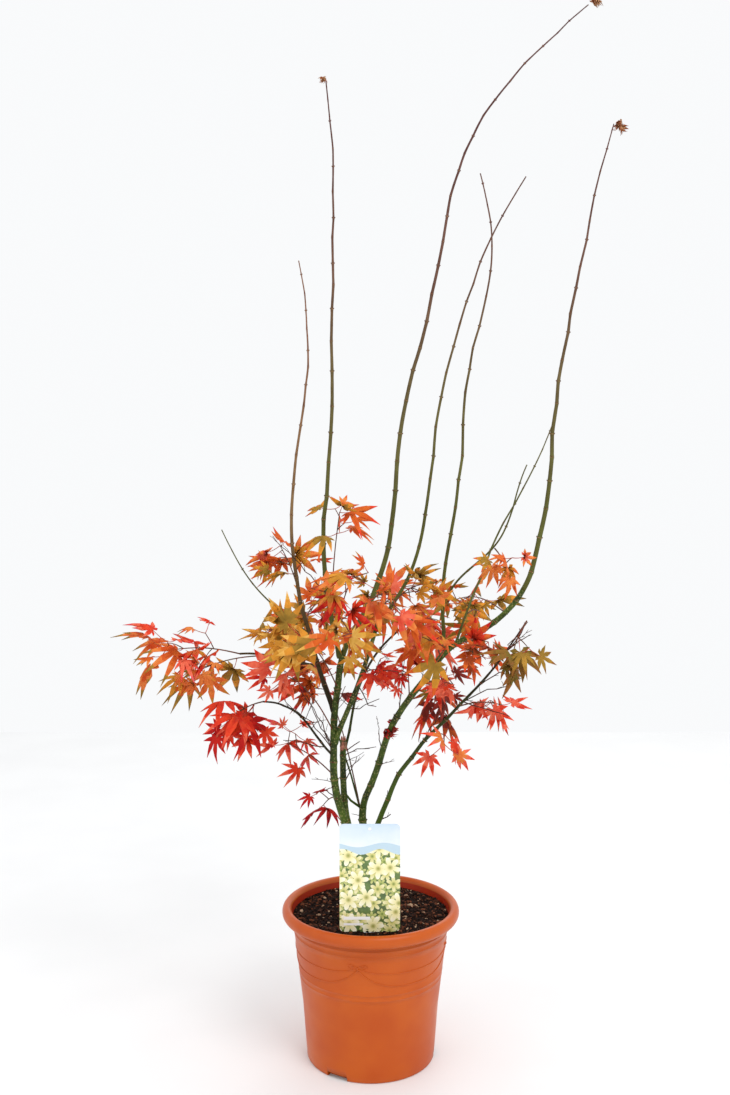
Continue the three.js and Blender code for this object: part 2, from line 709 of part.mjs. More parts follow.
function addSoil() {
  const gap = clearance;
  const neckRadius = pot.neckRadius - pot.wall - gap;
  const lipRadius = pot.rimRadius - pot.rimHalfWide - gap;
  const lipHeight = pot.height - pot.rimHalfHigh;
  const edgeHeight = soil.top - soil.edgeDrop;
  const edgeShare = (edgeHeight - pot.neckHeight) / (lipHeight - pot.neckHeight);
  const edgeRadius = neckRadius + (lipRadius - neckRadius) * edgeShare;
  const profile = [[0, pot.floor + gap], [pot.footRadius - pot.wall - gap, pot.floor + gap]];
  profile.push([pot.middleRadius - pot.wall - gap, pot.middleHeight]);
  profile.push([pot.shoulderRadius - pot.wall - gap, pot.shoulderHeight]);
  profile.push([neckRadius, pot.neckHeight], [edgeRadius, edgeHeight]);
  profile.push([edgeRadius * soil.flatShare, soil.top], [0, soil.top]);
  const heap = latheSolid(profile.map(([radius, height]) => new THREE.Vector2(radius, height)));
  const slot = labelSolid(gap);
  addPiece('soil', heap.subtract(slot), 'earth');
}

// The label is one thin plate with rounded corners, a small hole and a spike that stands in the soil.
function labelSolid(extra) {
  const half = label.width / 2 + extra;
  const low = label.bottom - extra;
  const high = label.top + extra;
  const spike = label.spikeWide / 2 + extra;
  const point = label.bottom - label.spikeLong - extra;
  const round = label.corner;
  const plate = new THREE.Shape();
  plate.moveTo(-spike, low);
  plate.lineTo(-spike, point + label.spikeTip);
  plate.lineTo(0, point);
  plate.lineTo(spike, point + label.spikeTip);
  plate.lineTo(spike, low);
  plate.lineTo(half - round, low);
  plate.absarc(half - round, low + round, round, -Math.PI / 2, 0, false);
  plate.absarc(half - round, high - round, round, 0, Math.PI / 2, false);
  plate.absarc(-half + round, high - round, round, Math.PI / 2, Math.PI, false);
  plate.absarc(-half + round, low + round, round, Math.PI, 1.5 * Math.PI, false);
  plate.closePath();
  const eye = new THREE.Path();
  eye.absarc(0, label.top - label.holeDrop, label.holeRadius, 0, 2 * Math.PI, false);
  plate.holes.push(eye);
  const thick = label.thick + 2 * extra;
  const geometry = new THREE.ExtrudeGeometry(plate, { depth: thick, bevelEnabled: false, curveSegments: 3 });
  geometry.translate(label.x, 0, -thick / 2);
  geometry.rotateX(Math.PI / 2);
  geometry.translate(0, label.y, 0);
  return solidOf(geometry);
}

function addLabel() {
  addPiece('care_label', labelSolid(0), 'card');
}

addPot();
addSoil();
addLabel();
const grownLimbs = addLimbs();
const obstacles = limbPoints();
const plots = Object.entries(masses).map(([name, row], index) => new Plot(name, row, index));
addMasses(grownLimbs);

export default tree;
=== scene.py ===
# %% [markdown]
# # A potted Japanese maple in autumn
# The plant is young: a handful of green stems from one foot, whips that have already dropped their
# leaves, and a loose crown of red, orange and amber leaves below them. It stands in a terracotta
# coloured plastic pot with a care label pushed into the soil.
#
# Everything is measured in millimetres, as a grower would, and is turned to metres when a mesh is made.

import json
import math

import bmesh
import bpy
import numpy as np
from mathutils import Matrix, Vector, noise

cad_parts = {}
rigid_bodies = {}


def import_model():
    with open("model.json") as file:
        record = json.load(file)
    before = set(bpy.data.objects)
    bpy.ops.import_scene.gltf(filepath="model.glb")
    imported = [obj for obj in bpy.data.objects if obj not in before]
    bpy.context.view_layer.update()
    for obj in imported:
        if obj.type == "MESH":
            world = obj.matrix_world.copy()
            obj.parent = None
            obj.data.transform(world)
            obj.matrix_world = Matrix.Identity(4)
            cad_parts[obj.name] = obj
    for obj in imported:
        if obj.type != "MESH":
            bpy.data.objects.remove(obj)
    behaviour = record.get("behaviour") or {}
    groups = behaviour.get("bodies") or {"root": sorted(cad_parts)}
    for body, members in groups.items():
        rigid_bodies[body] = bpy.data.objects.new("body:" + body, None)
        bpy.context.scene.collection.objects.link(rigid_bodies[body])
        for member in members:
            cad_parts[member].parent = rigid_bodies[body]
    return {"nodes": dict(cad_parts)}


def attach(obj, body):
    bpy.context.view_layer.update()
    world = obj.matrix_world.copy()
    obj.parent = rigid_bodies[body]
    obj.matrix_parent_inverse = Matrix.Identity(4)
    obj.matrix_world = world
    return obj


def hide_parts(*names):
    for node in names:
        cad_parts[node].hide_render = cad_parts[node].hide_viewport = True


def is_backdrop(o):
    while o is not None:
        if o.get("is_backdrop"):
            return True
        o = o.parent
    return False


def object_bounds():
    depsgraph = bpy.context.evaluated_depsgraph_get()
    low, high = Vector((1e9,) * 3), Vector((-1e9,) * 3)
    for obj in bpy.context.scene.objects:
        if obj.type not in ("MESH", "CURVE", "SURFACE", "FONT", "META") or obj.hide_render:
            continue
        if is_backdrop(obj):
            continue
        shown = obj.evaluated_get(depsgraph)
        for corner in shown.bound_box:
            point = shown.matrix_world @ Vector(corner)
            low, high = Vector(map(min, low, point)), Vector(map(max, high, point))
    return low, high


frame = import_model()
cad_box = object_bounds()
MM = 0.001
print("The frame has", len(frame["nodes"]), "solids.")

# %% [markdown]
# ## The camera
# The camera stands about two metres away with its lens a little above half the plant's height and tipped
# down by a few degrees, so the pot is seen slightly from above and the whips almost level.

# %% Place the camera
LENS, SENSOR_WIDE = 37.96, 36
CAMERA_PLACE, CAMERA_TILT = (-0.01025, -2.051, 1.058), 86.273
camera_data = bpy.data.cameras.new("camera")
camera_data.lens = LENS
camera_data.sensor_width = SENSOR_WIDE
camera = bpy.data.objects.new("camera", camera_data)
camera.location = CAMERA_PLACE
camera.rotation_euler = (math.radians(CAMERA_TILT), 0, 0)
bpy.context.scene.collection.objects.link(camera)
bpy.context.scene.camera = camera
print("The camera stands", round(-camera.location.y, 2), "m in front of the pot.")

# %% [markdown]
# ## Repeatable chance
# A plant looks alive because nothing in it is quite regular, yet the picture has to come out the same
# each time. A small dice with a seed gives both: the same seed always rolls the same numbers.

# %% Make the dice
def dice(seed):
    """Returns a function that draws a number between two limits."""
    modulus = 2147483647
    state = (seed * 7919 + 104729) % modulus

    def draw(low=0.0, high=1.0):
        nonlocal state
        state = state * 16807 % modulus
        return low + (high - low) * state / modulus

    for _ in range(3):
        draw()
    return draw


print("A first roll:", round(dice(1)(), 3))

# %% [markdown]
# ## Limbs
# Each limb leaves its parent at a share of the parent's length and runs to a tip. Its line is the
# straight chord with a few swells to one side, like the bow of a fishing rod, and a drift forwards or
# back. That takes one row for each limb, and every joint moves with its parent.

# %% Tabulate the limbs
LIMBS = {
    "trunk": dict(foot=(-5, 0, 240), tip=(-10, 0, 345), bow=[0], radii=(13.5, 11), flare=20),
    "left_stem": dict(parent="trunk", at=0.95, tip=(-65, -15, 575), bow=[-18, 4], radii=(7.5, 6.4)),
    "left_leader": dict(parent="left_stem", at=1, tip=(-55, 10, 730), bow=[-2, -2], radii=(6.4, 5.6)),
    "inner_leader": dict(parent="left_stem", at=0.99, tip=(15, -45, 805), bow=[4], radii=(5, 3.4)),
    "middle_stem": dict(parent="trunk", at=1, tip=(-20, 10, 455), bow=[4], radii=(7.5, 6.6)),
    "cut_stem": dict(parent="left_stem", at=0.35, tip=(-50, 30, 570), bow=[-4], drift=8, radii=(6, 5.4)),
    "thin_leader": dict(
        parent="cut_stem", at=0.78, tip=(75, 75, 785), bow=[-32, 4], drift=10, radii=(2.6, 1.8)),
    "right_bough": dict(
        parent="middle_stem", at=0.96, tip=(135, -40, 755), bow=[-17, 1, 4], drift=-10, radii=(6, 5.2)),
    "right_arm": dict(parent="right_bough", at=1, tip=(270, -35, 850), bow=[15], radii=(5, 4.6)),
    "right_whip": dict(
        parent="right_arm", at=1, tip=(435, 60, 1680), bow=[-11, 7, 4, 3], drift=-20, radii=(4.6, 1)),
    "low_right_bough": dict(
        parent="trunk", at=0.97, tip=(255, -170, 815), bow=[-34, -13, 3], drift=-10, radii=(5.4, 1.9)),
    "dark_limb": dict(
        parent="left_leader", at=0.34, tip=(-135, 150, 1455), bow=[-39, -23, 5], drift=30, radii=(4.4, 1)),
    "left_whip": dict(
        parent="left_leader", at=0.97, tip=(-75, -90, 1705), bow=[-6, -14, -4, -4], drift=-30,
        radii=(4.7, 1)),
    "tall_whip": dict(
        parent="left_leader", at=1, tip=(400, 130, 1915), bow=[-82, 50, -4, 12, 6], drift=30,
        radii=(5.2, 1)),
    "crossing_whip": dict(
        parent="inner_leader", at=0.91, tip=(250, -150, 1535), bow=[-10, 26, 6, 4], drift=-10,
        radii=(3.4, 1)),
    "bent_whip": dict(
        parent="right_bough", at=0.97, tip=(180, -110, 1550), bow=[5, -15, 6, -9], drift=-40,
        radii=(3.4, 1)),
    "outer_green_twig": dict(
        parent="right_arm", at=0.09, tip=(340, 110, 1150), bow=[-5, -3, 2], drift=10, radii=(2.2, 1)),
    "inner_green_twig": dict(
        parent="bent_whip", at=0.08, tip=(250, -190, 1070), bow=[14, -10, -8], radii=(2.2, 1)),
    "bare_left_twig": dict(parent="dark_limb", at=0.17, tip=(-280, 120, 950), bow=[-21], radii=(1.8, 1)),
    "left_low_shoot": dict(
        parent="left_stem", at=0.91, tip=(-190, -40, 655), bow=[21, -8], radii=(2.4, 1.6)),
    "left_spray_limb": dict(
        parent="dark_limb", at=0.1, tip=(-230, -40, 740), bow=[4, -3], radii=(2.6, 1.8)),
}


def limb_foot(row):
    return limb_point(LIMBS[row["parent"]], row["at"]) if "parent" in row else np.array(row["foot"], float)


def limb_point(row, share):
    """A point on a limb's centre line, in millimetres."""
    foot = limb_foot(row)
    chord = np.array(row["tip"], float) - foot
    side = np.array([chord[2], 0, -chord[0]])
    side /= np.linalg.norm(side)
    swell = sum(size * math.sin((i + 1) * math.pi * share) for i, size in enumerate(row["bow"]))
    place = foot + chord * share + side * swell
    place[1] += row.get("drift", 0) * math.sin(math.pi * share)
    return place


def limb_length(row):
    return float(np.linalg.norm(np.array(row["tip"]) - limb_foot(row)))


def limb_radius(row, share):
    first, last = row["radii"]
    return first + (last - first) * share + row.get("flare", 0) * max(0.0, 1 - share) ** 5


print("Limbs:", len(LIMBS), "with", round(sum(map(limb_length, LIMBS.values())) / 1000, 1), "m of wood.")

# %% [markdown]
# ## Masses of leaves
# Each mass has one stem that leaves a limb and bears pairs of leaves and side twigs, each pair turned
# from the last, as on any maple. A leaf is tried in a few loose attitudes, and the first one that keeps to
# its mass's own space and clear of the limbs is kept. Autumn doesn't reach the whole plant at once, so
# every mass has its own tint.

# %% Tabulate the masses
def mass(limb, at, reach, leaf, seed, tint, pairs=3, bare=0.4, level=False):
    """Where a mass leaves its limb and how far it reaches, with its leaves' size, chance, tint and pairs."""
    return dict(limb=limb, at=at, reach=reach, leaf=leaf, seed=seed, tint=tint, pairs=pairs, bare=bare,
                level=level)


MASSES = {
    "far_left_spray": mass(
        "left_spray_limb", 1, (-125, -30, 10), 50, 2727, "rose", pairs=4, bare=0.3, level=True),
    "low_left_spray": mass("left_spray_limb", 0.62, (-150, 30, -40), 50, 486, "olive"),
    "left_amber_spray": mass("dark_limb", 0.12, (-95, -55, 60), 52, 500, "amber"),
    "amber_spray": mass("left_leader", 0.62, (-60, -160, 120), 60, 1729, "amber", pairs=4),
    "left_back_spray": mass("dark_limb", 0.19, (0, 200, 0), 58, 5604, "orange"),
    "upper_left_spray": mass("dark_limb", 0.25, (-40, 55, 90), 48, 778, "orange"),
    "upper_small_spray": mass("left_whip", 0.07, (15, -45, 195), 44, 899, "orange", pairs=2, bare=0.8),
    "red_top_spray": mass("left_whip", 0.04, (35, -160, 125), 54, 478, "red", bare=0.5),
    "leader_spray": mass("tall_whip", 0.03, (-50, 105, 45), 54, 540, "orange"),
    "centre_front_spray": mass("inner_leader", 1, (20, -165, 50), 60, 1941, "orange", pairs=4),
    "centre_left_spray": mass("inner_leader", 0.78, (-45, -190, 45), 54, 4471, "amber"),
    "centre_back_spray": mass("tall_whip", 0.08, (35, 225, -15), 58, 543, "orange", pairs=4),
    "mid_red_spray": mass("inner_leader", 0.55, (35, -90, 25), 46, 441, "red", pairs=2, bare=0.5),
    "bright_red_spray": mass("right_bough", 0.66, (0, 80, 35), 42, 570, "red", pairs=2, bare=0.5),
    "right_top_spray": mass("crossing_whip", 0.06, (45, -120, 50), 50, 6046, "olive"),
    "pale_coral_spray": mass("thin_leader", 1, (45, 105, -15), 54, 844, "coral"),
    "big_orange_spray": mass("right_bough", 0.93, (-30, -150, 50), 62, 828, "orange"),
    "right_olive_spray": mass("outer_green_twig", 0.12, (30, 80, -5), 48, 1165, "olive"),
    "right_red_spray": mass("right_arm", 0.25, (-5, -100, -15), 52, 54, "redorange"),
    "small_orange_spray": mass("inner_green_twig", 0.5, (15, -35, -30), 38, 309, "orange", pairs=2),
    "right_back_spray": mass("right_arm", 0.7, (-70, 255, -5), 56, 3386, "olive"),
    "far_right_spray": mass("low_right_bough", 1, (-25, -20, -50), 52, 4605, "bronze", pairs=2, bare=0.5),
    "dark_red_spray": mass("right_bough", 0.8, (25, 95, -65), 52, 1058, "wine"),
    "coral_mid_spray": mass("right_bough", 0.86, (30, -85, -15), 48, 1234, "coral", pairs=2),
    "right_low_spray": mass("low_right_bough", 0.66, (80, 60, -10), 44, 6366, "coral", pairs=2, bare=0.5),
    "coral_drop": mass("low_right_bough", 0.52, (25, -70, 20), 42, 1973, "coral", pairs=1, bare=0.5),
    "red_left_spray": mass("left_low_shoot", 1, (-45, -40, -15), 54, 353, "red", bare=0.3),
    "left_shoot_spray": mass("left_leader", 0.12, (-80, -110, 130), 44, 625, "red", pairs=2, bare=0.75),
    "low_back_spray": mass("middle_stem", 0.9, (-85, 180, 245), 50, 918, "red", bare=0.75),
    "low_shoot_spray": mass("left_stem", 0.77, (-85, 50, 45), 44, 9408, "coral", pairs=2, bare=0.55),
    "crimson_leaf": mass("left_stem", 0.6, (-25, 50, -30), 40, 4182, "crimson", pairs=1, bare=0.5),
    "tall_dry_tuft": mass("tall_whip", 1, (8, 0, 4), 16, 5, "brown", pairs=1, bare=1),
    "right_dry_tuft": mass("right_whip", 1, (6, 0, 2), 16, 9, "brown", pairs=1, bare=1),
    "left_dry_tuft": mass("left_whip", 1, (-3, 0, 4), 9, 3, "brown", pairs=1, bare=1),
}

DRY_TUFTS = [name for name, row in MASSES.items() if row["tint"] == "brown"]
print("Masses:", len(MASSES), "of which dried tufts:", len(DRY_TUFTS))

# %% [markdown]
# The leaf is drawn here as a hand of five lobes. Each attitude is tried against three things: the points of
# its mass's other leaves, the stems of the other masses, and the wood of the limbs.

# %% Give the growing rule its sizes
LOBES = [(-76, 0.68), (-38, 0.9), (0, 1.0), (38, 0.9), (76, 0.68)]
NOTCH = 0.48
LEAF_TRIES = 14
SPACE_MARGIN = 1.5
LEAF_APART = 9
LOBE_CLEAR = 6
TWIG_CLEAR = 2
FRONT_DEPTH = 40
# How far a leaf faces the light's side and upwards, and how much of its droop it keeps.
LIT_MANNER = (0.9, 0.6, 1)
LEVEL_MANNER = (0.1, 1.4, 0.3)
UP = np.array([0.0, 0.0, 1.0])
print("A leaf is tried in up to", LEAF_TRIES, "attitudes.")


# %% Measure the room beside the limbs
def unit(run):
    return run / np.linalg.norm(run)


def segment_distance(points, start, end):
    """How far each point lies from the stretch between two places."""
    run = end - start
    share = np.clip((points - start) @ run / max(1e-9, float(run @ run)), 0, 1)
    return np.linalg.norm(points - start - share[:, None] * run, axis=1)


def limb_samples(spacing=8):
    places, radii = [], []
    for row in LIMBS.values():
        count = max(2, math.ceil(limb_length(row) / spacing))
        for i in range(count + 1):
            places.append(limb_point(row, i / count))
            radii.append(row["radii"][0] + (row["radii"][1] - row["radii"][0]) * i / count)
    return np.array(places), np.array(radii)


WOOD_PLACES, WOOD_RADII = limb_samples()


def clear_of_limbs(start, end, gap):
    return (segment_distance(WOOD_PLACES, start, end) - WOOD_RADII).min() >= gap


print("The limbs are sampled at", len(WOOD_PLACES), "places.")


# %% Lay out the masses
class Plot:
    """One mass: its stem, and the twigs and leaves that it grows."""

    def __init__(self, name, row):
        self.name, self.row = name, row
        self.foot = limb_point(LIMBS[row["limb"]], row["at"])
        self.reach = np.array(row["reach"], float)
        self.tip = self.foot + self.reach
        self.axis = unit(self.reach)
        self.length = float(np.linalg.norm(self.reach))
        flat = np.cross(self.axis, UP)
        self.across = unit(flat) if np.linalg.norm(flat) > 0.2 else np.array([1.0, 0, 0])
        self.over = np.cross(self.across, self.axis)
        self.twigs, self.leaves, self.marks, self.slot = [], [], [], 0

    def stem(self, share):
        arch = 0.06 * self.length * math.sin(math.pi * share)
        return self.foot + self.reach * share + self.over * arch


PLOTS = [Plot(name, row) for name, row in MASSES.items()]
lengths = [plot.length for plot in PLOTS]
print("Stem lengths run from", round(min(lengths)), "to", round(max(lengths)), "mm.")

# %% Write the tests for space
BARE_FOOT = 0.3


def in_own_space(plot, points):
    """True if every point is nearer to this mass's stem than to any other's."""
    own, nearest = None, np.full(len(points), 1e9)
    for other in PLOTS:
        gap = segment_distance(points, other.foot + other.reach * BARE_FOOT, other.tip)
        if other is plot:
            own = gap
        else:
            nearest = np.minimum(nearest, gap)
    return bool((own + SPACE_MARGIN < nearest).all())


def leaf_points(base, ahead, aside, size):
    """The base, then the lobe tips and the notches between them, from one side to the other."""
    def spread(angle, length):
        turn = math.radians(angle)
        return base + (ahead * math.cos(turn) + aside * math.sin(turn)) * length

    points = [base]
    for i, (angle, share) in enumerate(LOBES):
        points.append(spread(angle, share * size))
        if i < len(LOBES) - 1:
            points.append(spread((angle + LOBES[i + 1][0]) / 2, NOTCH * size))
    return np.array(points)


print("A leaf is tested at", len(leaf_points(UP, UP, UP, 1)), "points.")


# %% Write how a leaf grows
LOOSE_FIRST, LOOSE_STEP = 0.3, 0.07
FACE_SPREAD, AIM_SPREAD = 0.7, 0.5
STALK_GAP = 1.5


def grow_leaf(plot, joint, out, scale=1.0, apart=LEAF_APART):
    """Adds one leaf if a fitting attitude is found."""
    plot.slot += 1
    draw = dice(plot.row["seed"] * 131 + plot.slot)
    length = plot.row["leaf"]
    for attempt in range(LEAF_TRIES):
        loose = LOOSE_FIRST + LOOSE_STEP * attempt
        pull, lift, hang = LEVEL_MANNER if plot.row["level"] else LIT_MANNER
        droop = draw(-0.1, 1) * hang
        scatter = [draw(-loose, loose), draw(-loose, loose), draw(-loose, loose) * 0.6 - droop]
        away = unit(out + np.array(scatter))
        base = joint + away * (length * draw(0.35, 0.8 - 0.02 * attempt))
        light = -pull if joint[1] < FRONT_DEPTH else pull
        face = np.array([draw(-FACE_SPREAD, FACE_SPREAD), light + draw(-FACE_SPREAD, FACE_SPREAD),
                         lift + draw(-FACE_SPREAD, FACE_SPREAD)])
        flat = np.cross(face, away)
        flat = unit(flat) if np.linalg.norm(flat) > 0.05 else np.array([1.0, 0, 0])
        turn = draw(-AIM_SPREAD, AIM_SPREAD)
        ahead = away * math.cos(turn) + flat * math.sin(turn)
        aside = flat * math.cos(turn) - away * math.sin(turn)
        size = length * scale * draw(0.85, 1.2) * (1 - 0.015 * attempt)
        points = leaf_points(base, ahead, aside, size)
        tips = points[1::2]
        marks = np.concatenate([points[:1], tips, (tips + base) / 2])
        if plot.marks:
            gaps = np.linalg.norm(np.concatenate(plot.marks)[:, None] - marks[None], axis=2)
            if gaps.min() < apart:
                continue
        fits = in_own_space(plot, points)
        fits = fits and all(clear_of_limbs(base, tip, LOBE_CLEAR) for tip in tips)
        if fits and clear_of_limbs(joint + away * 6, base, STALK_GAP):
            plot.leaves.append((joint, base, ahead, aside, size))
            plot.marks.append(marks)
            return


print("By its last attitude a leaf strays by", round(LOOSE_FIRST + LOOSE_STEP * (LEAF_TRIES - 1), 2))


# %% Grow the twigs and leaves in pairs
PAIR_TURN, TURN_SPREAD = 55, 20
TWIG_CHANCE, SHORT_TWIG, LONG_TWIG = 0.55, 28, 60


def grow_mass(plot):
    row, pairs = plot.row, plot.row["pairs"]
    for i in range(pairs):
        last = i == pairs - 1
        joint = plot.stem(row["bare"] + (1 - row["bare"]) * i / (pairs - 1) if pairs > 1 else 1)
        draw = dice(row["seed"] * 17 + i * 1009)
        turn = math.radians((0 if i % 2 == 0 else PAIR_TURN) + draw(-TURN_SPREAD, TURN_SPREAD))
        plane = plot.across * math.cos(turn) + plot.over * math.sin(turn)
        for hand in (1, -1):
            twiggy = draw() < TWIG_CHANCE and not last
            leaf_way = unit(plot.axis * (0.8 if last else 0.35) + plane * hand)
            if not twiggy:
                grow_leaf(plot, joint, leaf_way)
                continue
            length = max(SHORT_TWIG, plot.length * draw(0.22, 0.4))
            way = unit(plot.axis * 0.6 + plane * hand * 0.8 + UP * draw(-0.1, 0.2))
            tip, middle = joint + way * length, joint + way * length * 0.5
            free = in_own_space(plot, np.array([middle, tip]))
            if not (free and clear_of_limbs(joint + way * 6, tip, TWIG_CLEAR)):
                grow_leaf(plot, joint, leaf_way)
                continue
            plot.twigs.append((joint, tip))
            beside = unit(np.cross(way, UP))
            for turned in (1, -1):
                grow_leaf(plot, tip, unit(way * 0.7 + beside * 0.8 * turned))
            if length > LONG_TWIG:
                for turned in (1, -1):
                    grow_leaf(plot, middle, unit(way * 0.4 + beside * 0.9 * turned), 0.85)


for plot in PLOTS:
    grow_mass(plot)
first_leaves = sum(len(plot.leaves) for plot in PLOTS)
print("The pairs bear", first_leaves, "leaves on", sum(len(plot.twigs) for plot in PLOTS), "side twigs.")

# %% [markdown]
# Between the pairs a real shoot carries finer twigs with smaller leaves. They are grown the same way, into
# the room that is still free inside each mass.

# %% Grow the finer twigs
SPRIG_LENGTH = (16, 34)
SPRIG_LEAF = (0.5, 0.75)
SPRIG_LEAVES_APART = 5


def grow_sprigs(plot):
    draw = dice(plot.row["seed"] * 41 + 7)
    for _ in range(plot.row["pairs"]):
        share = draw(plot.row["bare"], 1)
        turn, length = draw(0, 2 * math.pi), draw(*SPRIG_LENGTH)
        joint = plot.stem(share)
        way = unit(plot.axis * 0.5 + plot.across * math.cos(turn) + plot.over * math.sin(turn))
        tip = joint + way * length
        if in_own_space(plot, np.array([tip])) and clear_of_limbs(joint + way * 5, tip, TWIG_CLEAR):
            before = len(plot.leaves)
            beside = unit(np.cross(way, UP) + 1e-6)
            for turned in (1, -1):
                out = unit(way * 0.6 + beside * 0.8 * turned)
                grow_leaf(plot, tip, out, draw(*SPRIG_LEAF), SPRIG_LEAVES_APART)
            if len(plot.leaves) > before:
                plot.twigs.append((joint, tip))


for plot in PLOTS:
    if plot.name not in DRY_TUFTS:
        grow_sprigs(plot)
print("With the finer twigs there are", sum(len(plot.leaves) for plot in PLOTS), "leaves.")

# %% [markdown]
# ## Making and placing pieces
# Every piece is modelled in place, in metres, so its object stays at the origin. One helper turns a
# finished bmesh into an object, gives it its materials, and hides the solids that it stands for.

# %% Make the piece helper
def linear(red, green, blue):
    """A screen colour, 0 to 255 each, as the linear colour that a shader wants."""
    def curve(value):
        value /= 255
        return value / 12.92 if value <= 0.04045 else ((value + 0.055) / 1.055) ** 2.4
    return (curve(red), curve(green), curve(blue), 1)


def mesh_from(bm, name, smooth=True):
    for face in bm.faces:
        face.smooth = smooth
    mesh = bpy.data.meshes.new(name)
    bm.to_mesh(mesh)
    bm.free()
    return mesh


def piece(name, bm, materials, nodes=(), smooth=True):
    """A finished object of the part, which rides with it and replaces the given solids."""
    made = bpy.data.objects.new(name, mesh_from(bm, name, smooth))
    bpy.context.scene.collection.objects.link(made)
    for material in materials:
        made.data.materials.append(material)
    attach(made, "root")
    if nodes:
        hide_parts(*nodes)
    print(name, "has", len(made.data.polygons), "faces.")
    return made


# %% Make the helpers that join and repeat shapes
carrier = bpy.data.meshes.new("carrier")


def append(target, bm, look=0):
    """Adds one finished bmesh to a larger one and gives its faces a material number."""
    for face in bm.faces:
        face.material_index = look
    bm.to_mesh(carrier)
    bm.free()
    target.from_mesh(carrier)


def lay(target, shape, place, looks):
    """Adds a copy of a mesh at its place. Each of its material numbers becomes the look with that number."""
    first_face, first_vert = len(target.faces), len(target.verts)
    target.from_mesh(shape)
    target.faces.ensure_lookup_table()
    target.verts.ensure_lookup_table()
    for face in target.faces[first_face:]:
        face.material_index = looks[face.material_index]
    # An operator would walk the whole mesh again for every copy, so the new corners are moved one by one.
    for vert in target.verts[first_vert:]:
        vert.co = place @ vert.co


def cut_away(target, name, bm, smooth=False):
    """Cuts the shapes of a bmesh out of a piece."""
    cutter = bpy.data.objects.new(name, mesh_from(bm, name, smooth))
    bpy.context.scene.collection.objects.link(cutter)
    cut = target.modifiers.new(name, "BOOLEAN")
    cut.object = cutter
    cut.solver = "EXACT"
    depsgraph = bpy.context.evaluated_depsgraph_get()
    done = bpy.data.meshes.new_from_object(target.evaluated_get(depsgraph))
    target.modifiers.clear()
    target.data = done
    bpy.data.objects.remove(cutter)
    print("After the cut,", target.name, "has", len(done.polygons), "faces.")


# %% [markdown]
# ## Shared shader effects
# Nothing on a plant has one flat colour. A cloudy mask and a finer speckle serve nearly every surface here,
# so each is a node group with its own size, and each material mixes them into its colour and its bump. A few
# small helpers make and join the nodes.

# %% Make the node helpers
def new_node(tree, kind, settings=(), **values):
    """A shader node with some sockets set to a value or joined to another socket."""
    node = tree.nodes.new(kind)
    for setting, choice in settings:
        setattr(node, setting, choice)
    for name, value in values.items():
        fill(tree, node.inputs[name.replace("_", " ")], value)
    return node


def fill(tree, socket, value):
    """Joins a socket to another one, or sets it to a constant."""
    if isinstance(value, bpy.types.NodeSocket):
        tree.links.new(value, socket)
    else:
        socket.default_value = value


def blended(tree, factor, first, second, manner="MIX"):
    """Mixes two colours, each a socket or three numbers up to 255."""
    mix = new_node(tree, "ShaderNodeMix", [("data_type", "RGBA"), ("blend_type", manner)], Factor=factor)
    ends = [socket for socket in mix.inputs if socket.type == "RGBA"]
    for socket, colour in zip(ends, (first, second)):
        fill(tree, socket, linear(*colour) if isinstance(colour, tuple) else colour)
    return next(socket for socket in mix.outputs if socket.type == "RGBA")


def ramp(tree, factor, stops):
    """Colours that follow a factor, from (position, colour) stops in rising order."""
    node = new_node(tree, "ShaderNodeValToRGB", Fac=factor)
    elements = node.color_ramp.elements
    for i, (position, colour) in enumerate(stops):
        element = elements[i] if i < 2 else elements.new(position)
        element.position = position
        element.color = linear(*colour)
    return node.outputs["Color"]


def ranged(tree, value, target, low, high):
    """Spreads a value from 0 to 1 between two others, and joins it to a socket."""
    node = new_node(tree, "ShaderNodeMapRange", Value=value, To_Min=low, To_Max=high)
    tree.links.new(node.outputs["Result"], target)


def blank_material(name):
    """A new material, with its tree and its shader."""
    material = bpy.data.materials.new(name)
    material.use_nodes = True
    return material, material.node_tree, material.node_tree.nodes["Principled BSDF"]


print("A pure white is", linear(255, 255, 255)[:3])


# %% Make the cloud and speckle groups
def effect_group(name, texture, output, low, high):
    """A group with a Scale input, and Mask and Height outputs from one texture."""
    group = bpy.data.node_groups.new(name, "ShaderNodeTree")
    group.interface.new_socket("Scale", in_out="INPUT", socket_type="NodeSocketFloat")
    group.interface.new_socket("Mask", in_out="OUTPUT", socket_type="NodeSocketFloat")
    group.interface.new_socket("Height", in_out="OUTPUT", socket_type="NodeSocketFloat")
    place = new_node(group, "ShaderNodeTexCoord").outputs["Object"]
    scale = new_node(group, "NodeGroupInput").outputs["Scale"]
    pattern = new_node(group, texture, Vector=place, Scale=scale).outputs[output]
    spread = new_node(group, "ShaderNodeMapRange", Value=pattern, From_Min=low, From_Max=high)
    new_node(group, "NodeGroupOutput", Mask=spread.outputs["Result"], Height=pattern)
    return group


clouds = effect_group("clouds", "ShaderNodeTexNoise", "Fac", 0.35, 0.65)
speckle = effect_group("speckle", "ShaderNodeTexVoronoi", "Distance", 0.45, 0.1)
print("Shared effects:", clouds.name, "and", speckle.name)


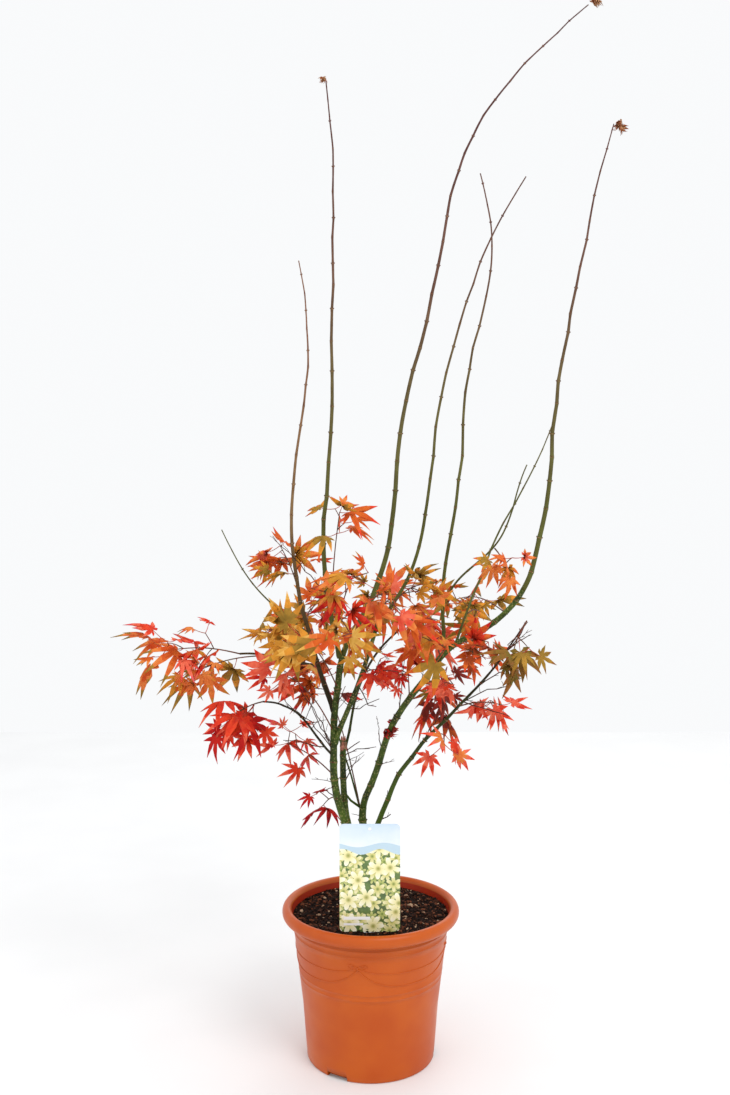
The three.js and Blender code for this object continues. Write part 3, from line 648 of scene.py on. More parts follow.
# %% Make the finish helper
def finish(name, base, second, cloud_scale, speck=None, speck_scale=400.0, speck_share=0.5,
           rough=(0.5, 0.6), bump=0.1, bump_depth=0.0005, shine=0.5):
    """A material of two cloudy colours, with optional specks of a third, and a fine bump."""
    material, tree, shader = blank_material(name)
    shader.inputs["Specular IOR Level"].default_value = shine
    broad = new_node(tree, "ShaderNodeGroup", [("node_tree", clouds)], Scale=cloud_scale)
    fine = new_node(tree, "ShaderNodeGroup", [("node_tree", speckle)], Scale=speck_scale)
    colour = blended(tree, broad.outputs["Mask"], base, second)
    if speck:
        thin = new_node(tree, "ShaderNodeMath", [("operation", "MULTIPLY")])
        fill(tree, thin.inputs[0], fine.outputs["Mask"])
        fill(tree, thin.inputs[1], speck_share)
        colour = blended(tree, thin.outputs[0], colour, speck)
    tree.links.new(colour, shader.inputs["Base Color"])
    ranged(tree, broad.outputs["Mask"], shader.inputs["Roughness"], *rough)
    height = fine.outputs["Height"]
    relief = new_node(tree, "ShaderNodeBump", Strength=bump, Distance=bump_depth, Height=height)
    tree.links.new(relief.outputs["Normal"], shader.inputs["Normal"])
    return material


def by_height(material, steps, reach=2000):
    """Multiplies a material's colour by tones that change with the height in millimetres."""
    tree = material.node_tree
    target = tree.nodes["Principled BSDF"].inputs["Base Color"]
    below = target.links[0].from_socket
    place = new_node(tree, "ShaderNodeTexCoord").outputs["Object"]
    height = new_node(tree, "ShaderNodeSeparateXYZ", Vector=place).outputs["Z"]
    share = new_node(tree, "ShaderNodeMapRange", Value=height, From_Max=reach * MM).outputs["Result"]
    tones = ramp(tree, share, [(level / reach, tone) for level, tone in steps])
    tree.links.new(blended(tree, 1, below, tones, "MULTIPLY"), target)


print("Each plain finish mixes", clouds.name, "into its colour and", speckle.name, "into its bump.")

# %% [markdown]
# ## Bark
# Young maple bark is smooth and green, with pale pores, and turns brown and plum towards the tips. Every
# hand's breadth a pair of leaves has left a ring: the shoot swells there, and a thin scar runs round it with
# a bud on each side. A ring that is extruded along the limb's line, station by station, gives a closed tube
# whose width can follow all of that.

# %% Mix the bark colours
green_bark = finish("green_bark", (70, 92, 18), (34, 48, 8), 38, speck=(170, 164, 104), speck_scale=240,
                    rough=(0.5, 0.65), bump=0.35, shine=0.25)
whip_bark = finish("whip_bark", (236, 228, 208), (200, 186, 168), 30, speck=(255, 250, 236),
                   speck_scale=500, rough=(0.5, 0.65), bump=0.3, shine=0.25)
by_height(whip_bark, [(700, (88, 100, 34)), (1000, (98, 104, 48)), (1180, (106, 98, 58)),
                      (1400, (112, 80, 68)), (1700, (98, 60, 60))])
dark_bark = finish("dark_bark", (236, 228, 208), (196, 180, 162), 30, speck=(255, 244, 224),
                   speck_scale=420, rough=(0.55, 0.7), bump=0.3, shine=0.2)
by_height(dark_bark, [(660, (46, 44, 18)), (800, (92, 76, 46)), (1000, (142, 116, 82)),
                      (1300, (138, 100, 84))])
low_bark = finish("low_bark", (240, 236, 220), (190, 184, 160), 38, speck=(255, 250, 230),
                  speck_scale=300, rough=(0.5, 0.65), bump=0.35, shine=0.2)
by_height(low_bark, [(450, (70, 96, 22)), (610, (58, 72, 20)), (700, (50, 48, 18)), (790, (60, 38, 24)),
                     (840, (104, 54, 62))])
print("Barks:", green_bark.name, whip_bark.name, dark_bark.name, low_bark.name)

# %% Mix the colours of scars, buds and thin twigs
scar_wood = finish("scar_wood", (166, 132, 92), (96, 66, 44), 180, rough=(0.6, 0.75), bump=0.3, shine=0.2)
torn_wood = finish("torn_wood", (216, 146, 122), (158, 96, 78), 260, rough=(0.7, 0.85), bump=0.5)
bud_red = finish("bud_red", (112, 44, 34), (76, 34, 28), 220, rough=(0.5, 0.65), bump=0.2, shine=0.25)
wisp_brown = finish("wisp_brown", (86, 44, 32), (58, 38, 24), 60, rough=(0.6, 0.75), bump=0.2, shine=0.15)
twig_red = finish("twig_red", (112, 48, 34), (82, 58, 30), 60, rough=(0.5, 0.65), bump=0.2, shine=0.25)
stalk_red = finish("stalk_red", (186, 50, 44), (150, 74, 36), 90, rough=(0.5, 0.65), bump=0.1, shine=0.25)
print("Small woody parts:", scar_wood.name, torn_wood.name, bud_red.name, wisp_brown.name)

# %% Sweep a tube along a line
def ring_frames(stations):
    """One matrix for each station: it carries a unit circle to its place, turn and radius."""
    frames, aside, last = [], None, len(stations) - 1
    for i, (place, radius) in enumerate(stations):
        ahead = (stations[min(i + 1, last)][0] - stations[max(i - 1, 0)][0]).normalized()
        aside = ahead.orthogonal() if aside is None else aside - ahead * aside.dot(ahead)
        aside.normalize()
        matrix = Matrix((aside * radius, ahead.cross(aside) * radius, ahead * radius)).transposed().to_4x4()
        matrix.translation = place
        frames.append(matrix)
    return frames


def tube(stations, sides):
    """A closed tube through (place, radius) stations, in metres."""
    bm = bmesh.new()
    frames = ring_frames(stations)
    bmesh.ops.create_circle(bm, cap_ends=True, radius=1, segments=sides, matrix=frames[0])
    rim = bm.edges[:]
    for here, beyond in zip(frames, frames[1:]):
        grown = bmesh.ops.extrude_edge_only(bm, edges=rim)["geom"]
        rim = [g for g in grown if isinstance(g, bmesh.types.BMEdge) and g.is_boundary]
        corners = [g for g in grown if isinstance(g, bmesh.types.BMVert)]
        bmesh.ops.transform(bm, matrix=beyond @ here.inverted(), verts=corners)
    bmesh.ops.contextual_create(bm, geom=rim)
    bmesh.ops.recalc_face_normals(bm, faces=bm.faces[:])
    return bm


def metres(place):
    return Vector([float(value) * MM for value in place])


print("1000 mm is", metres((1000, 0, 0)).x, "m in a mesh.")

# %% [markdown]
# A shoot turns a little at each ring, so its line is set off to one side there and runs straight between.
# Where one limb goes on as the next, as from the left stem up to the tallest whip, the line is averaged over
# a short stretch, so no corner shows.

# %% Set the rings and the kinks
FAR_RINGS, CLOSE_RINGS = 58, 34
BLEND = 34
STOUT, KINK_THICK, KINK_THIN = 5.5, 0.8, 1.9


def ring_places(name):
    """Distances along a limb at which leaves once stood, closer together towards its tip."""
    length = limb_length(LIMBS[name])
    draw = dice(sum(map(ord, name)))
    places, here = [], draw(30, 50)
    while here < length - 8:
        places.append(here)
        here += (FAR_RINGS + (CLOSE_RINGS - FAR_RINGS) * here / length) * draw(0.75, 1.25)
    return places


def kinks(name):
    """The rings' distances, with how far the line is set off to one side at each."""
    row, draw = LIMBS[name], dice(7 * sum(map(ord, name)))
    length, aside = limb_length(row), KINK_THICK if row["radii"][0] > STOUT else KINK_THIN
    places = [0] + [place for place in ring_places(name) if BLEND < place < length - BLEND] + [length]
    offsets = [[draw(-aside, aside), draw(-aside, aside), 0] for _ in places[1:-1]]
    return places, np.array([[0, 0, 0]] + offsets + [[0, 0, 0]])


KINKS = {name: kinks(name) for name in LIMBS}
print("The tall whip has", len(ring_places("tall_whip")), "rings.")

# %% Run the limbs on into one another
RUNS = [("left_stem", "left_leader", "tall_whip"), ("middle_stem", "right_bough", "right_arm", "right_whip")]
BLEND_STEPS = 4


def blended_point(name, distance):
    """A point on a limb's line, in millimetres, rounded off where one limb of a run goes on as the next."""
    places, offsets = KINKS[name]
    run = next((run for run in RUNS if name in run), (name,))
    lengths = [limb_length(LIMBS[limb]) for limb in run]
    here = sum(lengths[:run.index(name)]) + distance
    reach = min(BLEND, here, sum(lengths) - here)
    total = np.zeros(3)
    for step in range(-BLEND_STEPS, BLEND_STEPS + 1):
        along = min(max(here + reach * step / BLEND_STEPS, 0), sum(lengths))
        which = 0
        while which < len(run) - 1 and along > lengths[which]:
            along -= lengths[which]
            which += 1
        total += limb_point(LIMBS[run[which]], along / lengths[which])
    kink = np.array([np.interp(distance, places, offsets[:, axis]) for axis in range(3)])
    return total / (2 * BLEND_STEPS + 1) + kink


print("The left stem's foot, rounded off, is at", blended_point("left_stem", 0).round(1).tolist())

# %% Shape each limb with its rings
STATION_STEP = 5.0
RING_WIDE, RING_SWELL, MOST_SWELL = 2.6, 0.12, 0.2
RING_STATIONS = (-1.3, 0, 1.3)
COLLAR_SWELL, COLLAR_LONG = 0.3, 1.6
FINE_TIPS = {"low_right_bough": 0.45}
NODE_RINGS = {}


def limb_stations(name):
    """The places and radii of one limb's tube. Its rings are noted for the scars."""
    row, length = LIMBS[name], limb_length(LIMBS[name])
    goes_on = any(name in run[1:] for run in RUNS)
    rings = ring_places(name)
    NODE_RINGS[name] = []
    distances = sorted(set(list(np.arange(0, length, STATION_STEP)) + [length]
                           + [ring + step for ring in rings for step in RING_STATIONS]))
    stations = []
    for distance in distances:
        share = distance / length
        radius = limb_radius(row, share) * (1 - FINE_TIPS.get(name, 0) * share ** 2)
        collar = COLLAR_SWELL * radius * math.exp(-((distance - radius) / (COLLAR_LONG * radius)) ** 2)
        if goes_on or "parent" not in row:
            collar = 0
        swell = sum(RING_SWELL * math.exp(-((distance - ring) / RING_WIDE) ** 2) for ring in rings)
        wide = radius * (1 + min(swell, MOST_SWELL)) + collar
        stations.append((metres(blended_point(name, distance)), wide * MM))
    for ring in rings:
        ahead = blended_point(name, min(length, ring + 3)) - blended_point(name, ring - 3)
        NODE_RINGS[name].append((blended_point(name, ring), unit(ahead), limb_radius(row, ring / length)))
    return stations


print("The trunk is shaped by", len(limb_stations("trunk")), "stations.")

# %% Roughen the bark and make the limbs
BARK_RELIEF, BROAD_BUMPS, FINE_BUMPS = 0.035, 90, 420
SIDES = [(10, 28), (5.5, 18), (3, 12), (0, 8)]
BARKS = {
    "green_bark": ["trunk", "left_stem", "left_leader", "middle_stem", "cut_stem", "right_bough", "right_arm",
                   "low_right_bough", "inner_leader"],
    "dark_bark": ["dark_limb", "left_low_shoot", "left_spray_limb"],
}
BARK_LOOKS = {"green_bark": green_bark, "dark_bark": dark_bark, "whip_bark": whip_bark}
SHADED = ["low_right_bough", "thin_leader"]


def rough_bark(bm, row):
    """Low bumps and shallow flutes, deeper on the older wood."""
    depth = BARK_RELIEF * row["radii"][0] * MM
    for vert in bm.verts:
        broad = noise.noise(vert.co * BROAD_BUMPS)
        fine = noise.noise(vert.co * FINE_BUMPS)
        vert.co += vert.normal * depth * (broad + 0.5 * fine)


for name, row in LIMBS.items():
    sides = next(count for least, count in SIDES if row["radii"][0] >= least)
    bm = tube(limb_stations(name), sides)
    bm.normal_update()
    rough_bark(bm, row)
    slot = next((bark for bark, limbs in BARKS.items() if name in limbs), "whip_bark")
    piece(name + "_bark", bm, [low_bark if name in SHADED else BARK_LOOKS[slot]], [name])

# %% [markdown]
# ### Scars, buds and the pruned stub
# A scar is a thin brown hoop round each ring, and a bud is a small pointed cone that leans up along the
# shoot. One stem was cut back years ago, and its dead end has dried to pinkish fibres.

# %% Add hoops and buds
HOOP_PROUD, HOOP_WIDE, HOOP_EDGE, HOOP_SIDES = 0.25, 0.9, 0.3, 14
THIN_SHOOT = 1.3
BUD_SIZE, BUD_GROWTH, BUD_SUNK, BUD_SIDES = 0.8, 0.07, 0.3, 6
# The bud's foot, middle and point: how far out, how far up and how thick, as shares of its size.
BUD_SHAPE = [(0, 0, 0.75), (1.1, 1.0, 0.85), (1.5, 2.6, 0.12)]
bm_scars, bm_buds = bmesh.new(), bmesh.new()
for name, rings in NODE_RINGS.items():
    for i, (place, ahead, radius) in enumerate(rings):
        lift = radius * (1 + RING_SWELL) + HOOP_PROUD
        if radius > THIN_SHOOT:
            half = ahead * HOOP_WIDE / 2
            edge = (lift - HOOP_EDGE) * MM
            hoop = [(metres(place - half), edge), (metres(place), lift * MM), (metres(place + half), edge)]
            append(bm_scars, tube(hoop, HOOP_SIDES))
        turned = Vector(ahead).orthogonal().normalized()
        turned.rotate(Matrix.Rotation(math.pi / 2 * i + 0.6, 3, Vector(ahead)))
        for hand in (1, -1):
            size = BUD_SIZE + BUD_GROWTH * radius
            out = np.array(turned) * hand
            root = place + out * (radius - BUD_SUNK)
            bud = [(metres(root + out * size * beside + ahead * size * above), size * thick * MM)
                   for beside, above, thick in BUD_SHAPE]
            append(bm_buds, tube(bud, BUD_SIDES))
piece("leaf_scars", bm_scars, [scar_wood])
piece("buds", bm_buds, [bud_red])

# %% Fray the pruned stub
FIBRES, FIBRE_RADII, FIBRE_SIDES = 26, (1.5, 1.2, 0.3), 5
bm_stub = bmesh.new()
stub_top = limb_point(LIMBS["cut_stem"], 1)
stub_way = unit(stub_top - limb_point(LIMBS["cut_stem"], 0.9))
draw = dice(77)
for i in range(FIBRES):
    turn, out = 2 * math.pi * i / FIBRES, draw(3.4, 5.6)
    offset = np.array([math.cos(turn) * out, math.sin(turn) * out, 0])
    low = stub_top + offset - stub_way * draw(8, 20)
    high = stub_top + offset * draw(0.5, 1.0) + stub_way * draw(1, 8)
    places = (low, (low + high) / 2, high)
    fibre = [(metres(place), radius * MM) for place, radius in zip(places, FIBRE_RADII)]
    append(bm_stub, tube(fibre, FIBRE_SIDES))
piece("pruned_stub", bm_stub, [torn_wood])

# %% [markdown]
# ## Leaves
# The leaf is a hand of seven long points. One half of a lobe is drawn with a few corners, mirrored on its
# midrib, and turned round the stalk's end for each lobe. The midribs lie a little lower than the edges, so
# the blade catches the light in folds. A few copies are curled in different ways, and every leaf of the
# crown is one of those, turned and sized by the growing rule.

# %% Draw one lobe and turn it into a leaf
BLADE_LOBES = LOBES + [(-116, 0.36), (116, 0.36)]
BLADE_NOTCH, NOTCH_ANGLE = 0.27, 19
FOLD = 0.16
HEART, LOBE, POINT = 0, 1, 2
HEART_REACH, LOBE_REACH = 0.42, 0.72


def lobe(length, half_angle, slim):
    """One long-pointed lobe along +X, with its foot at the origin."""
    bm = bmesh.new()
    notch = Vector((math.cos(half_angle), math.sin(half_angle), 0)) * BLADE_NOTCH * min(1, length / 0.7)
    wide = slim * (0.5 + 0.5 * length)
    corners = {
        "foot": (0, 0, 0), "rib": (0.46 * length, 0, -FOLD * length),
        "neck": (0.74 * length, 0, -0.6 * FOLD * length), "tip": (1.03 * length, 0, 0), "notch": notch,
        "belly": (0.52 * length, wide, 0), "shoulder": (0.76 * length, 0.55 * wide, 0),
    }
    at = {name: bm.verts.new(place) for name, place in corners.items()}
    for face in (("foot", "rib", "belly", "notch"), ("rib", "neck", "shoulder", "belly"),
                 ("neck", "tip", "shoulder")):
        bmesh.ops.contextual_create(bm, geom=[at[name] for name in face])
    bmesh.ops.mirror(bm, geom=bm.verts[:] + bm.edges[:] + bm.faces[:], axis="Y", merge_dist=1e-5)
    return bm


def blade(slim):
    """The whole hand, its middle lobe along +X and one unit long."""
    bm = bmesh.new()
    for angle, length in BLADE_LOBES:
        one = lobe(length, math.radians(NOTCH_ANGLE), slim)
        turn = Matrix.Rotation(math.radians(angle), 3, "Z")
        bmesh.ops.rotate(one, cent=(0, 0, 0), matrix=turn, verts=one.verts[:])
        append(bm, one)
    bmesh.ops.remove_doubles(bm, verts=bm.verts[:], dist=0.004)
    bmesh.ops.recalc_face_normals(bm, faces=bm.faces[:])
    for face in bm.faces:
        away = face.calc_center_median().length
        face.material_index = HEART if away < HEART_REACH else LOBE if away < LOBE_REACH else POINT
    return bm


print("A flat leaf has", len(blade(0.12).faces), "faces.")


# %% Curl the leaves
WAVES, SWING, CURL_START = (-0.22, 0.16), 0.12, 0.3


def curled(seed, slim, droop, cup, twist, roll=0.0):
    """A leaf whose lobes hang, cup and twist by these amounts, and roll up into a claw when it is dry."""
    bm = blade(slim)
    draw = dice(seed)
    waves = [draw(*WAVES) for _ in BLADE_LOBES]
    swings = [draw(-SWING, SWING) for _ in BLADE_LOBES]
    for vert in bm.verts:
        x, y = vert.co.x, vert.co.y
        reach, angle = math.hypot(x, y), math.atan2(y, x)
        nearest = min(range(len(BLADE_LOBES)), key=lambda n: abs(angle - math.radians(BLADE_LOBES[n][0])))
        past = max(0, reach - CURL_START)
        bend = swings[nearest] * past ** 2 * 2
        vert.co.x -= math.sin(angle) * bend
        vert.co.y += math.cos(angle) * bend
        vert.co.z += -droop * reach ** 2 + cup * y * y + twist * x * y + waves[nearest] * past * 2
        if roll:
            turn = roll * reach * (1 + 2 * waves[nearest])
            vert.co.xy *= math.sin(turn) / max(turn, 1e-6)
            vert.co.z += (math.cos(turn) - 1) / roll
    mesh = bpy.data.meshes.new("leaf")
    bm.to_mesh(mesh)
    bm.free()
    return mesh


# Each row has a seed, the lobes' width, and how far the leaf droops, cups, twists and rolls.
FRESH = [curled(*row) for row in (
    (3, 0.125, 0.2, 0.1, 0.1), (4, 0.11, 0.45, -0.2, -0.25), (5, 0.145, 0.12, 0.35, 0.1),
    (6, 0.12, 0.55, 0.2, 0.35), (7, 0.135, 0.3, -0.4, 0.05), (8, 0.125, 0.2, 0.35, -0.4),
    (9, 0.11, 0.65, 0.6, 0.3), (10, 0.13, 0.45, 0.7, -0.3))]
DRIED = [curled(*row) for row in (
    (11, 0.18, 0.1, 0.4, 0.4, 2.6), (12, 0.2, -0.1, 0.5, -0.4, 3.1), (13, 0.17, 0.15, -0.3, 0.5, 2.2))]
print("There are", len(FRESH), "fresh leaves and", len(DRIED), "dried ones.")


# %% [markdown]
# ### Autumn colours
# Autumn moves through a leaf from its points to its heart, so each leaf gets three plain colours, for its
# heart, its lobes and its points, out of its mass's own few. A soft cloud of a near colour in each material
# keeps them from looking printed.

# %% Mix the leaf colours
LEAF_TONES = {
    "crimson": ((200, 24, 40), (158, 16, 32)),
    "rose": ((236, 92, 96), (224, 62, 66)),
    "red": ((216, 38, 28), (190, 24, 24)),
    "scarlet": ((230, 70, 34), (212, 44, 26)),
    "coral": ((242, 120, 88), (226, 78, 56)),
    "rust": ((188, 80, 26), (150, 60, 18)),
    "orange": ((222, 106, 34), (206, 76, 28)),
    "tangerine": ((234, 140, 66), (220, 104, 46)),
    "amber": ((226, 150, 46), (190, 128, 40)),
    "gold": ((240, 186, 96), (218, 160, 60)),
    "olive": ((178, 132, 46), (140, 108, 38)),
    "moss": ((112, 104, 34), (140, 98, 36)),
    "bronze": ((160, 98, 40), (120, 84, 30)),
    "wine": ((146, 46, 34), (112, 36, 26)),
    "plum": ((116, 40, 30), (132, 62, 34)),
    "brown": ((172, 96, 52), (128, 66, 38)),
    "umber": ((96, 46, 28), (196, 148, 104)),
}
PALETTE = {name: finish("leaf_" + name, *tones, 55, rough=(0.6, 0.75), bump=0.3, shine=0.2)
           for name, tones in LEAF_TONES.items()}
print("Leaf colours:", len(PALETTE))

# %% Deal the colours to the masses
# The heart, lobe and point colours that the leaves of each tint are dealt from.
TINTS = {
    "rose": ["coral coral rose", "orange scarlet coral", "tangerine orange olive", "scarlet coral rose",
             "orange tangerine olive"],
    "olive": ["tangerine amber olive", "amber amber olive", "olive amber moss", "orange olive olive",
              "tangerine tangerine amber"],
    "amber": ["amber amber gold", "gold tangerine amber", "gold amber olive", "tangerine amber amber",
              "orange tangerine gold", "olive amber gold"],
    "orange": ["orange orange scarlet", "tangerine tangerine orange", "olive amber orange",
               "orange orange tangerine", "amber tangerine orange", "orange tangerine amber",
               "coral tangerine orange"],
    "redorange": ["orange scarlet scarlet", "scarlet orange red", "rust orange scarlet",
                  "coral scarlet scarlet"],
    "red": ["red red red", "scarlet red red", "red scarlet scarlet", "scarlet scarlet coral"],
    "coral": ["coral coral coral", "coral scarlet coral", "tangerine coral scarlet",
              "scarlet coral coral"],
    "bronze": ["moss bronze bronze", "olive olive bronze", "olive moss moss"],
    "wine": ["wine wine rust", "plum wine wine", "rust wine wine", "wine rust wine"],
    "crimson": ["crimson crimson crimson", "red crimson crimson"],
    "brown": ["brown umber umber", "umber brown brown"],
}

# A few masses stand where the colour changes, so they are dealt from a pack of their own.
MIXED_PACKS = {
    "red_top_spray": ["scarlet red red", "tangerine tangerine amber", "orange orange amber",
                      "amber tangerine orange"],
    "low_back_spray": ["rust orange scarlet", "wine red scarlet", "orange rust red"],
    "left_shoot_spray": ["coral coral scarlet", "red scarlet coral", "scarlet coral coral"],
    "mid_red_spray": ["red scarlet red", "coral scarlet coral", "scarlet coral coral"],
    "low_shoot_spray": ["coral coral coral", "scarlet coral coral", "coral rose coral"],
    "leader_spray": ["olive amber orange", "rust orange orange", "gold amber amber"],
    "dark_red_spray": ["wine rust scarlet", "wine wine rust", "olive rust wine", "scarlet coral rust"],
}

print("Tints:", len(TINTS), "and masses with a pack of their own:", len(MIXED_PACKS))

# %% Set every leaf on its stalk
BLADE_THICK, CRUMPLED, FAVOURED = 0.4, 4, 0.35
leaf_total = 0


def thicken(made, offset):
    """Gives a piece's blades their thickness, with the offset that says on which side."""
    wall = made.modifiers.new("blade thickness", "SOLIDIFY")
    wall.thickness = BLADE_THICK * MM
    wall.offset = offset


for tint, pairings in TINTS.items():
    nodes = [name for name, row in MASSES.items() if row["tint"] == tint]
    packs = pairings + [zones for name in nodes for zones in MIXED_PACKS.get(name, [])]
    looks = sorted({colour for zones in packs for colour in zones.split()})
    bm = bmesh.new()
    for plot in PLOTS:
        if plot.name not in nodes:
            continue
        draw = dice(plot.row["seed"] * 3 + 11)
        pack = MIXED_PACKS.get(plot.name, pairings)
        favourite = int(draw(0, len(pack) - 0.01))
        for joint, base, ahead, aside, size in plot.leaves:
            kinds = DRIED if tint == "brown" else FRESH
            shape = kinds[int(draw(0, len(kinds) - 0.01))]
            choice = favourite if draw() < FAVOURED else int(draw(0, len(pack) - 0.01))
            upper = np.cross(ahead, aside)
            if upper[2] < 0:
                aside, upper = -aside, -upper
            axes = Matrix((ahead, aside, upper)).transposed().to_4x4()
            for n in range(1 if kinds is FRESH else CRUMPLED):
                if n:
                    axes = Matrix.Rotation(draw(0, 6.28), 4, (draw(-1, 1), draw(-1, 1), draw(-1, 1)))
                spot = base + (joint - base) * n / CRUMPLED
                place = Matrix.Translation(metres(spot)) @ axes @ Matrix.Scale(size * MM * (1 - 0.1 * n), 4)
                lay(bm, shape, place, [looks.index(colour) for colour in pack[choice].split()])
                leaf_total += 1
    made = piece(tint + "_leaves", bm, [PALETTE[look] for look in looks], nodes)
    thicken(made, 0)
print("Leaves:", leaf_total)

# %% [markdown]
# ### Shoots and stalks
# The shoots that carry the leaves are slender and reddish green, and each leaf hangs on a long thin red
# stalk that sags a little.

# %% Sweep shoots and stalks
SHOOT_RADII, TWIG_RADII, STALK_RADII = (1.3, 0.8), (1.0, 0.7), (0.75, 0.5)
TWIG_SAG, STALK_SAG, STALK_INTO_LEAF = -0.04, 0.06, 1.5
bm_shoots, bm_stalks = bmesh.new(), bmesh.new()


def sagging(start, end, sag, radii, steps, sides):
    """A thin tube between two places that hangs down by a share of its length."""
    drop = UP * np.linalg.norm(end - start) * sag
    stations = []
    for i in range(steps + 1):
        share = i / steps
        place = start + (end - start) * share - drop * math.sin(math.pi * share)
        stations.append((metres(place), (radii[0] + (radii[1] - radii[0]) * share) * MM))
    return tube(stations, sides)


for plot in PLOTS:
    if plot.name not in DRY_TUFTS:
        count = max(4, int(plot.length / 12))
        slimmer = SHOOT_RADII[0] - SHOOT_RADII[1]
        line = [(metres(plot.stem(i / count)), (SHOOT_RADII[0] - slimmer * i / count) * MM)
                for i in range(count + 1)]
        append(bm_shoots, tube(line, 7))
    for start, end in plot.twigs:
        append(bm_shoots, sagging(start, end, TWIG_SAG, TWIG_RADII, 4, 6))
    for joint, base, ahead, aside, size in plot.leaves:
        append(bm_stalks, sagging(joint, base + ahead * STALK_INTO_LEAF, STALK_SAG, STALK_RADII, 4, 5))
piece("shoots", bm_shoots, [twig_red])
piece("leaf_stalks", bm_stalks, [stalk_red])

# %% [markdown]
# ### Bare wisps
# Inside the crown the shade has killed many fine twigs. They stay on for a winter or two as thin dark wisps
# with kinks where their leaves stood. A few long ones are listed one by one, and the short ones are dealt out
# along the lower wood by the dice.

# %% Tabulate the long wisps
WISPS = [
    ("cut_stem", 0.85, [(-20, 40, 565)]), ("cut_stem", 0.8, [(-25, 25, 555), (10, 20, 560)]),
    ("cut_stem", 0.5, [(-35, 15, 520), (-25, 5, 545)]),
    ("right_bough", 0.34, [(15, -10, 580), (15, -5, 600), (10, 5, 620)]),
    ("left_leader", 0.4, [(-55, -15, 655), (-45, -25, 680)]),
    ("inner_leader", 0.29, [(-20, -30, 640), (15, -40, 660)]),
    ("inner_leader", 0.48, [(-5, -20, 645), (10, -10, 640)]),
    ("left_stem", 0.95, [(-95, -25, 625), (-120, -30, 665), (-130, -40, 700)]),
    ("left_whip", 0.12, [(-125, -5, 895), (-175, 5, 945)]),
    ("low_right_bough", 0.46, [(100, -100, 620), (130, -110, 670)]),
    ("right_bough", 0.55, [(55, -20, 670), (60, -15, 725)]),
    ("low_right_bough", 0.89, [(245, -155, 780), (265, -155, 790)]),
    ("low_right_bough", 0.89, [(245, -150, 785), (260, -145, 810)]),
    ("left_stem", 0.97, [(-95, -10, 615), (-115, 0, 660)]),
    ("left_stem", 0.92, [(-105, -20, 615), (-135, -30, 635), (-150, -35, 650)]),
    ("left_low_shoot", 0.52, [(-135, -20, 635), (-155, -15, 655)]),
    ("left_low_shoot", 0.14, [(-125, -25, 580), (-155, -35, 585)]),
    ("low_right_bough", 0.18, [(35, -45, 455)]), ("left_stem", 0.58, [(-80, -15, 490), (-65, -25, 500)]),
    ("low_right_bough", 0.68, [(195, -135, 695), (235, -145, 705)]),
    ("low_right_bough", 0.68, [(205, -120, 655), (235, -115, 645)]),
    ("low_right_bough", 0.75, [(215, -140, 725), (250, -145, 715)]),
]
print("Long wisps:", len(WISPS))

# %% Grow the bare wisps
SHORT_WISPS, SHORT_LENGTHS = 26, (18, 60)
WISP_STEP, WISP_KINK, FORK_CHANCE = 14, 0.045, 0.7
WOOD_WITH_WISPS = ["left_stem", "left_leader", "cut_stem", "thin_leader", "right_bough", "low_right_bough",
                   "inner_leader", "left_low_shoot", "middle_stem"]
bm_wisps = bmesh.new()


def wisp(start, end, draw, radii, forks=True):
    """A kinked twig between two places with a few smaller forks."""
    length = np.linalg.norm(end - start)
    count = max(3, int(length / WISP_STEP))
    places = [start + (end - start) * i / count for i in range(count + 1)]
    for i in range(1, count):
        places[i] = places[i] + np.array([draw(-1, 1), draw(-1, 1), draw(-1, 1)]) * WISP_KINK * length
    line = [(metres(place), (radii[0] + (radii[1] - radii[0]) * i / count) * MM)
            for i, place in enumerate(places)]
    append(bm_wisps, tube(line, 5))
    for i in range(1, count):
        if forks and draw() < FORK_CHANCE:
            way = unit(unit(end - start) + 1.1 * np.array([draw(-1, 1), draw(-1, 1), draw(-0.4, 1)]))
            wisp(places[i], places[i] + way * length * draw(0.15, 0.4), draw, (0.55, 0.35), False)


draw = dice(404)
for name, share, bends in WISPS:
    here = limb_point(LIMBS[name], share)
    for n, bend in enumerate(bends):
        beyond = np.array(bend, float)
        wisp(here, beyond, draw, (1.1 - 0.25 * n, 0.85 - 0.25 * n))
        here = beyond
for i in range(SHORT_WISPS):
    row = LIMBS[WOOD_WITH_WISPS[i % len(WOOD_WITH_WISPS)]]
    share = draw(0.2, 0.95)
    start = limb_point(row, share)
    way = unit(np.array([draw(-1, 1), draw(-1, 1), draw(-0.2, 1)]))
    end = start + way * draw(*SHORT_LENGTHS)
    if clear_of_limbs(start + way * 12, end, 2):
        wisp(start, end, draw, (0.7, 0.4))
piece("bare_wisps", bm_wisps, [wisp_brown])

# %% [markdown]
# Two stouter bare twigs fork from the middle stem low down, with the same shaded bark as the low bough.

# %% Add the two low twigs
LOW_TWIGS = [("middle_stem", 0.97, [(-36, 2, 466), (-49, -8, 486)], 2.4),
             ("middle_stem", 0.9, [(-36, 50, 500), (-62, 100, 567)], 1.9)]
bm_low = bmesh.new()
for name, share, bends, radius in LOW_TWIGS:
    places = [limb_point(LIMBS[name], share)] + [np.array(bend) for bend in bends]
    line = [(metres(place), radius * (1 - 0.12 * i) * MM) for i, place in enumerate(places)]
    append(bm_low, tube(line, 8))
piece("low_twigs", bm_low, [low_bark])

# %% [markdown]
# One spray has withered where it grew, and a few of its leaves still hang there, rolled up like claws.

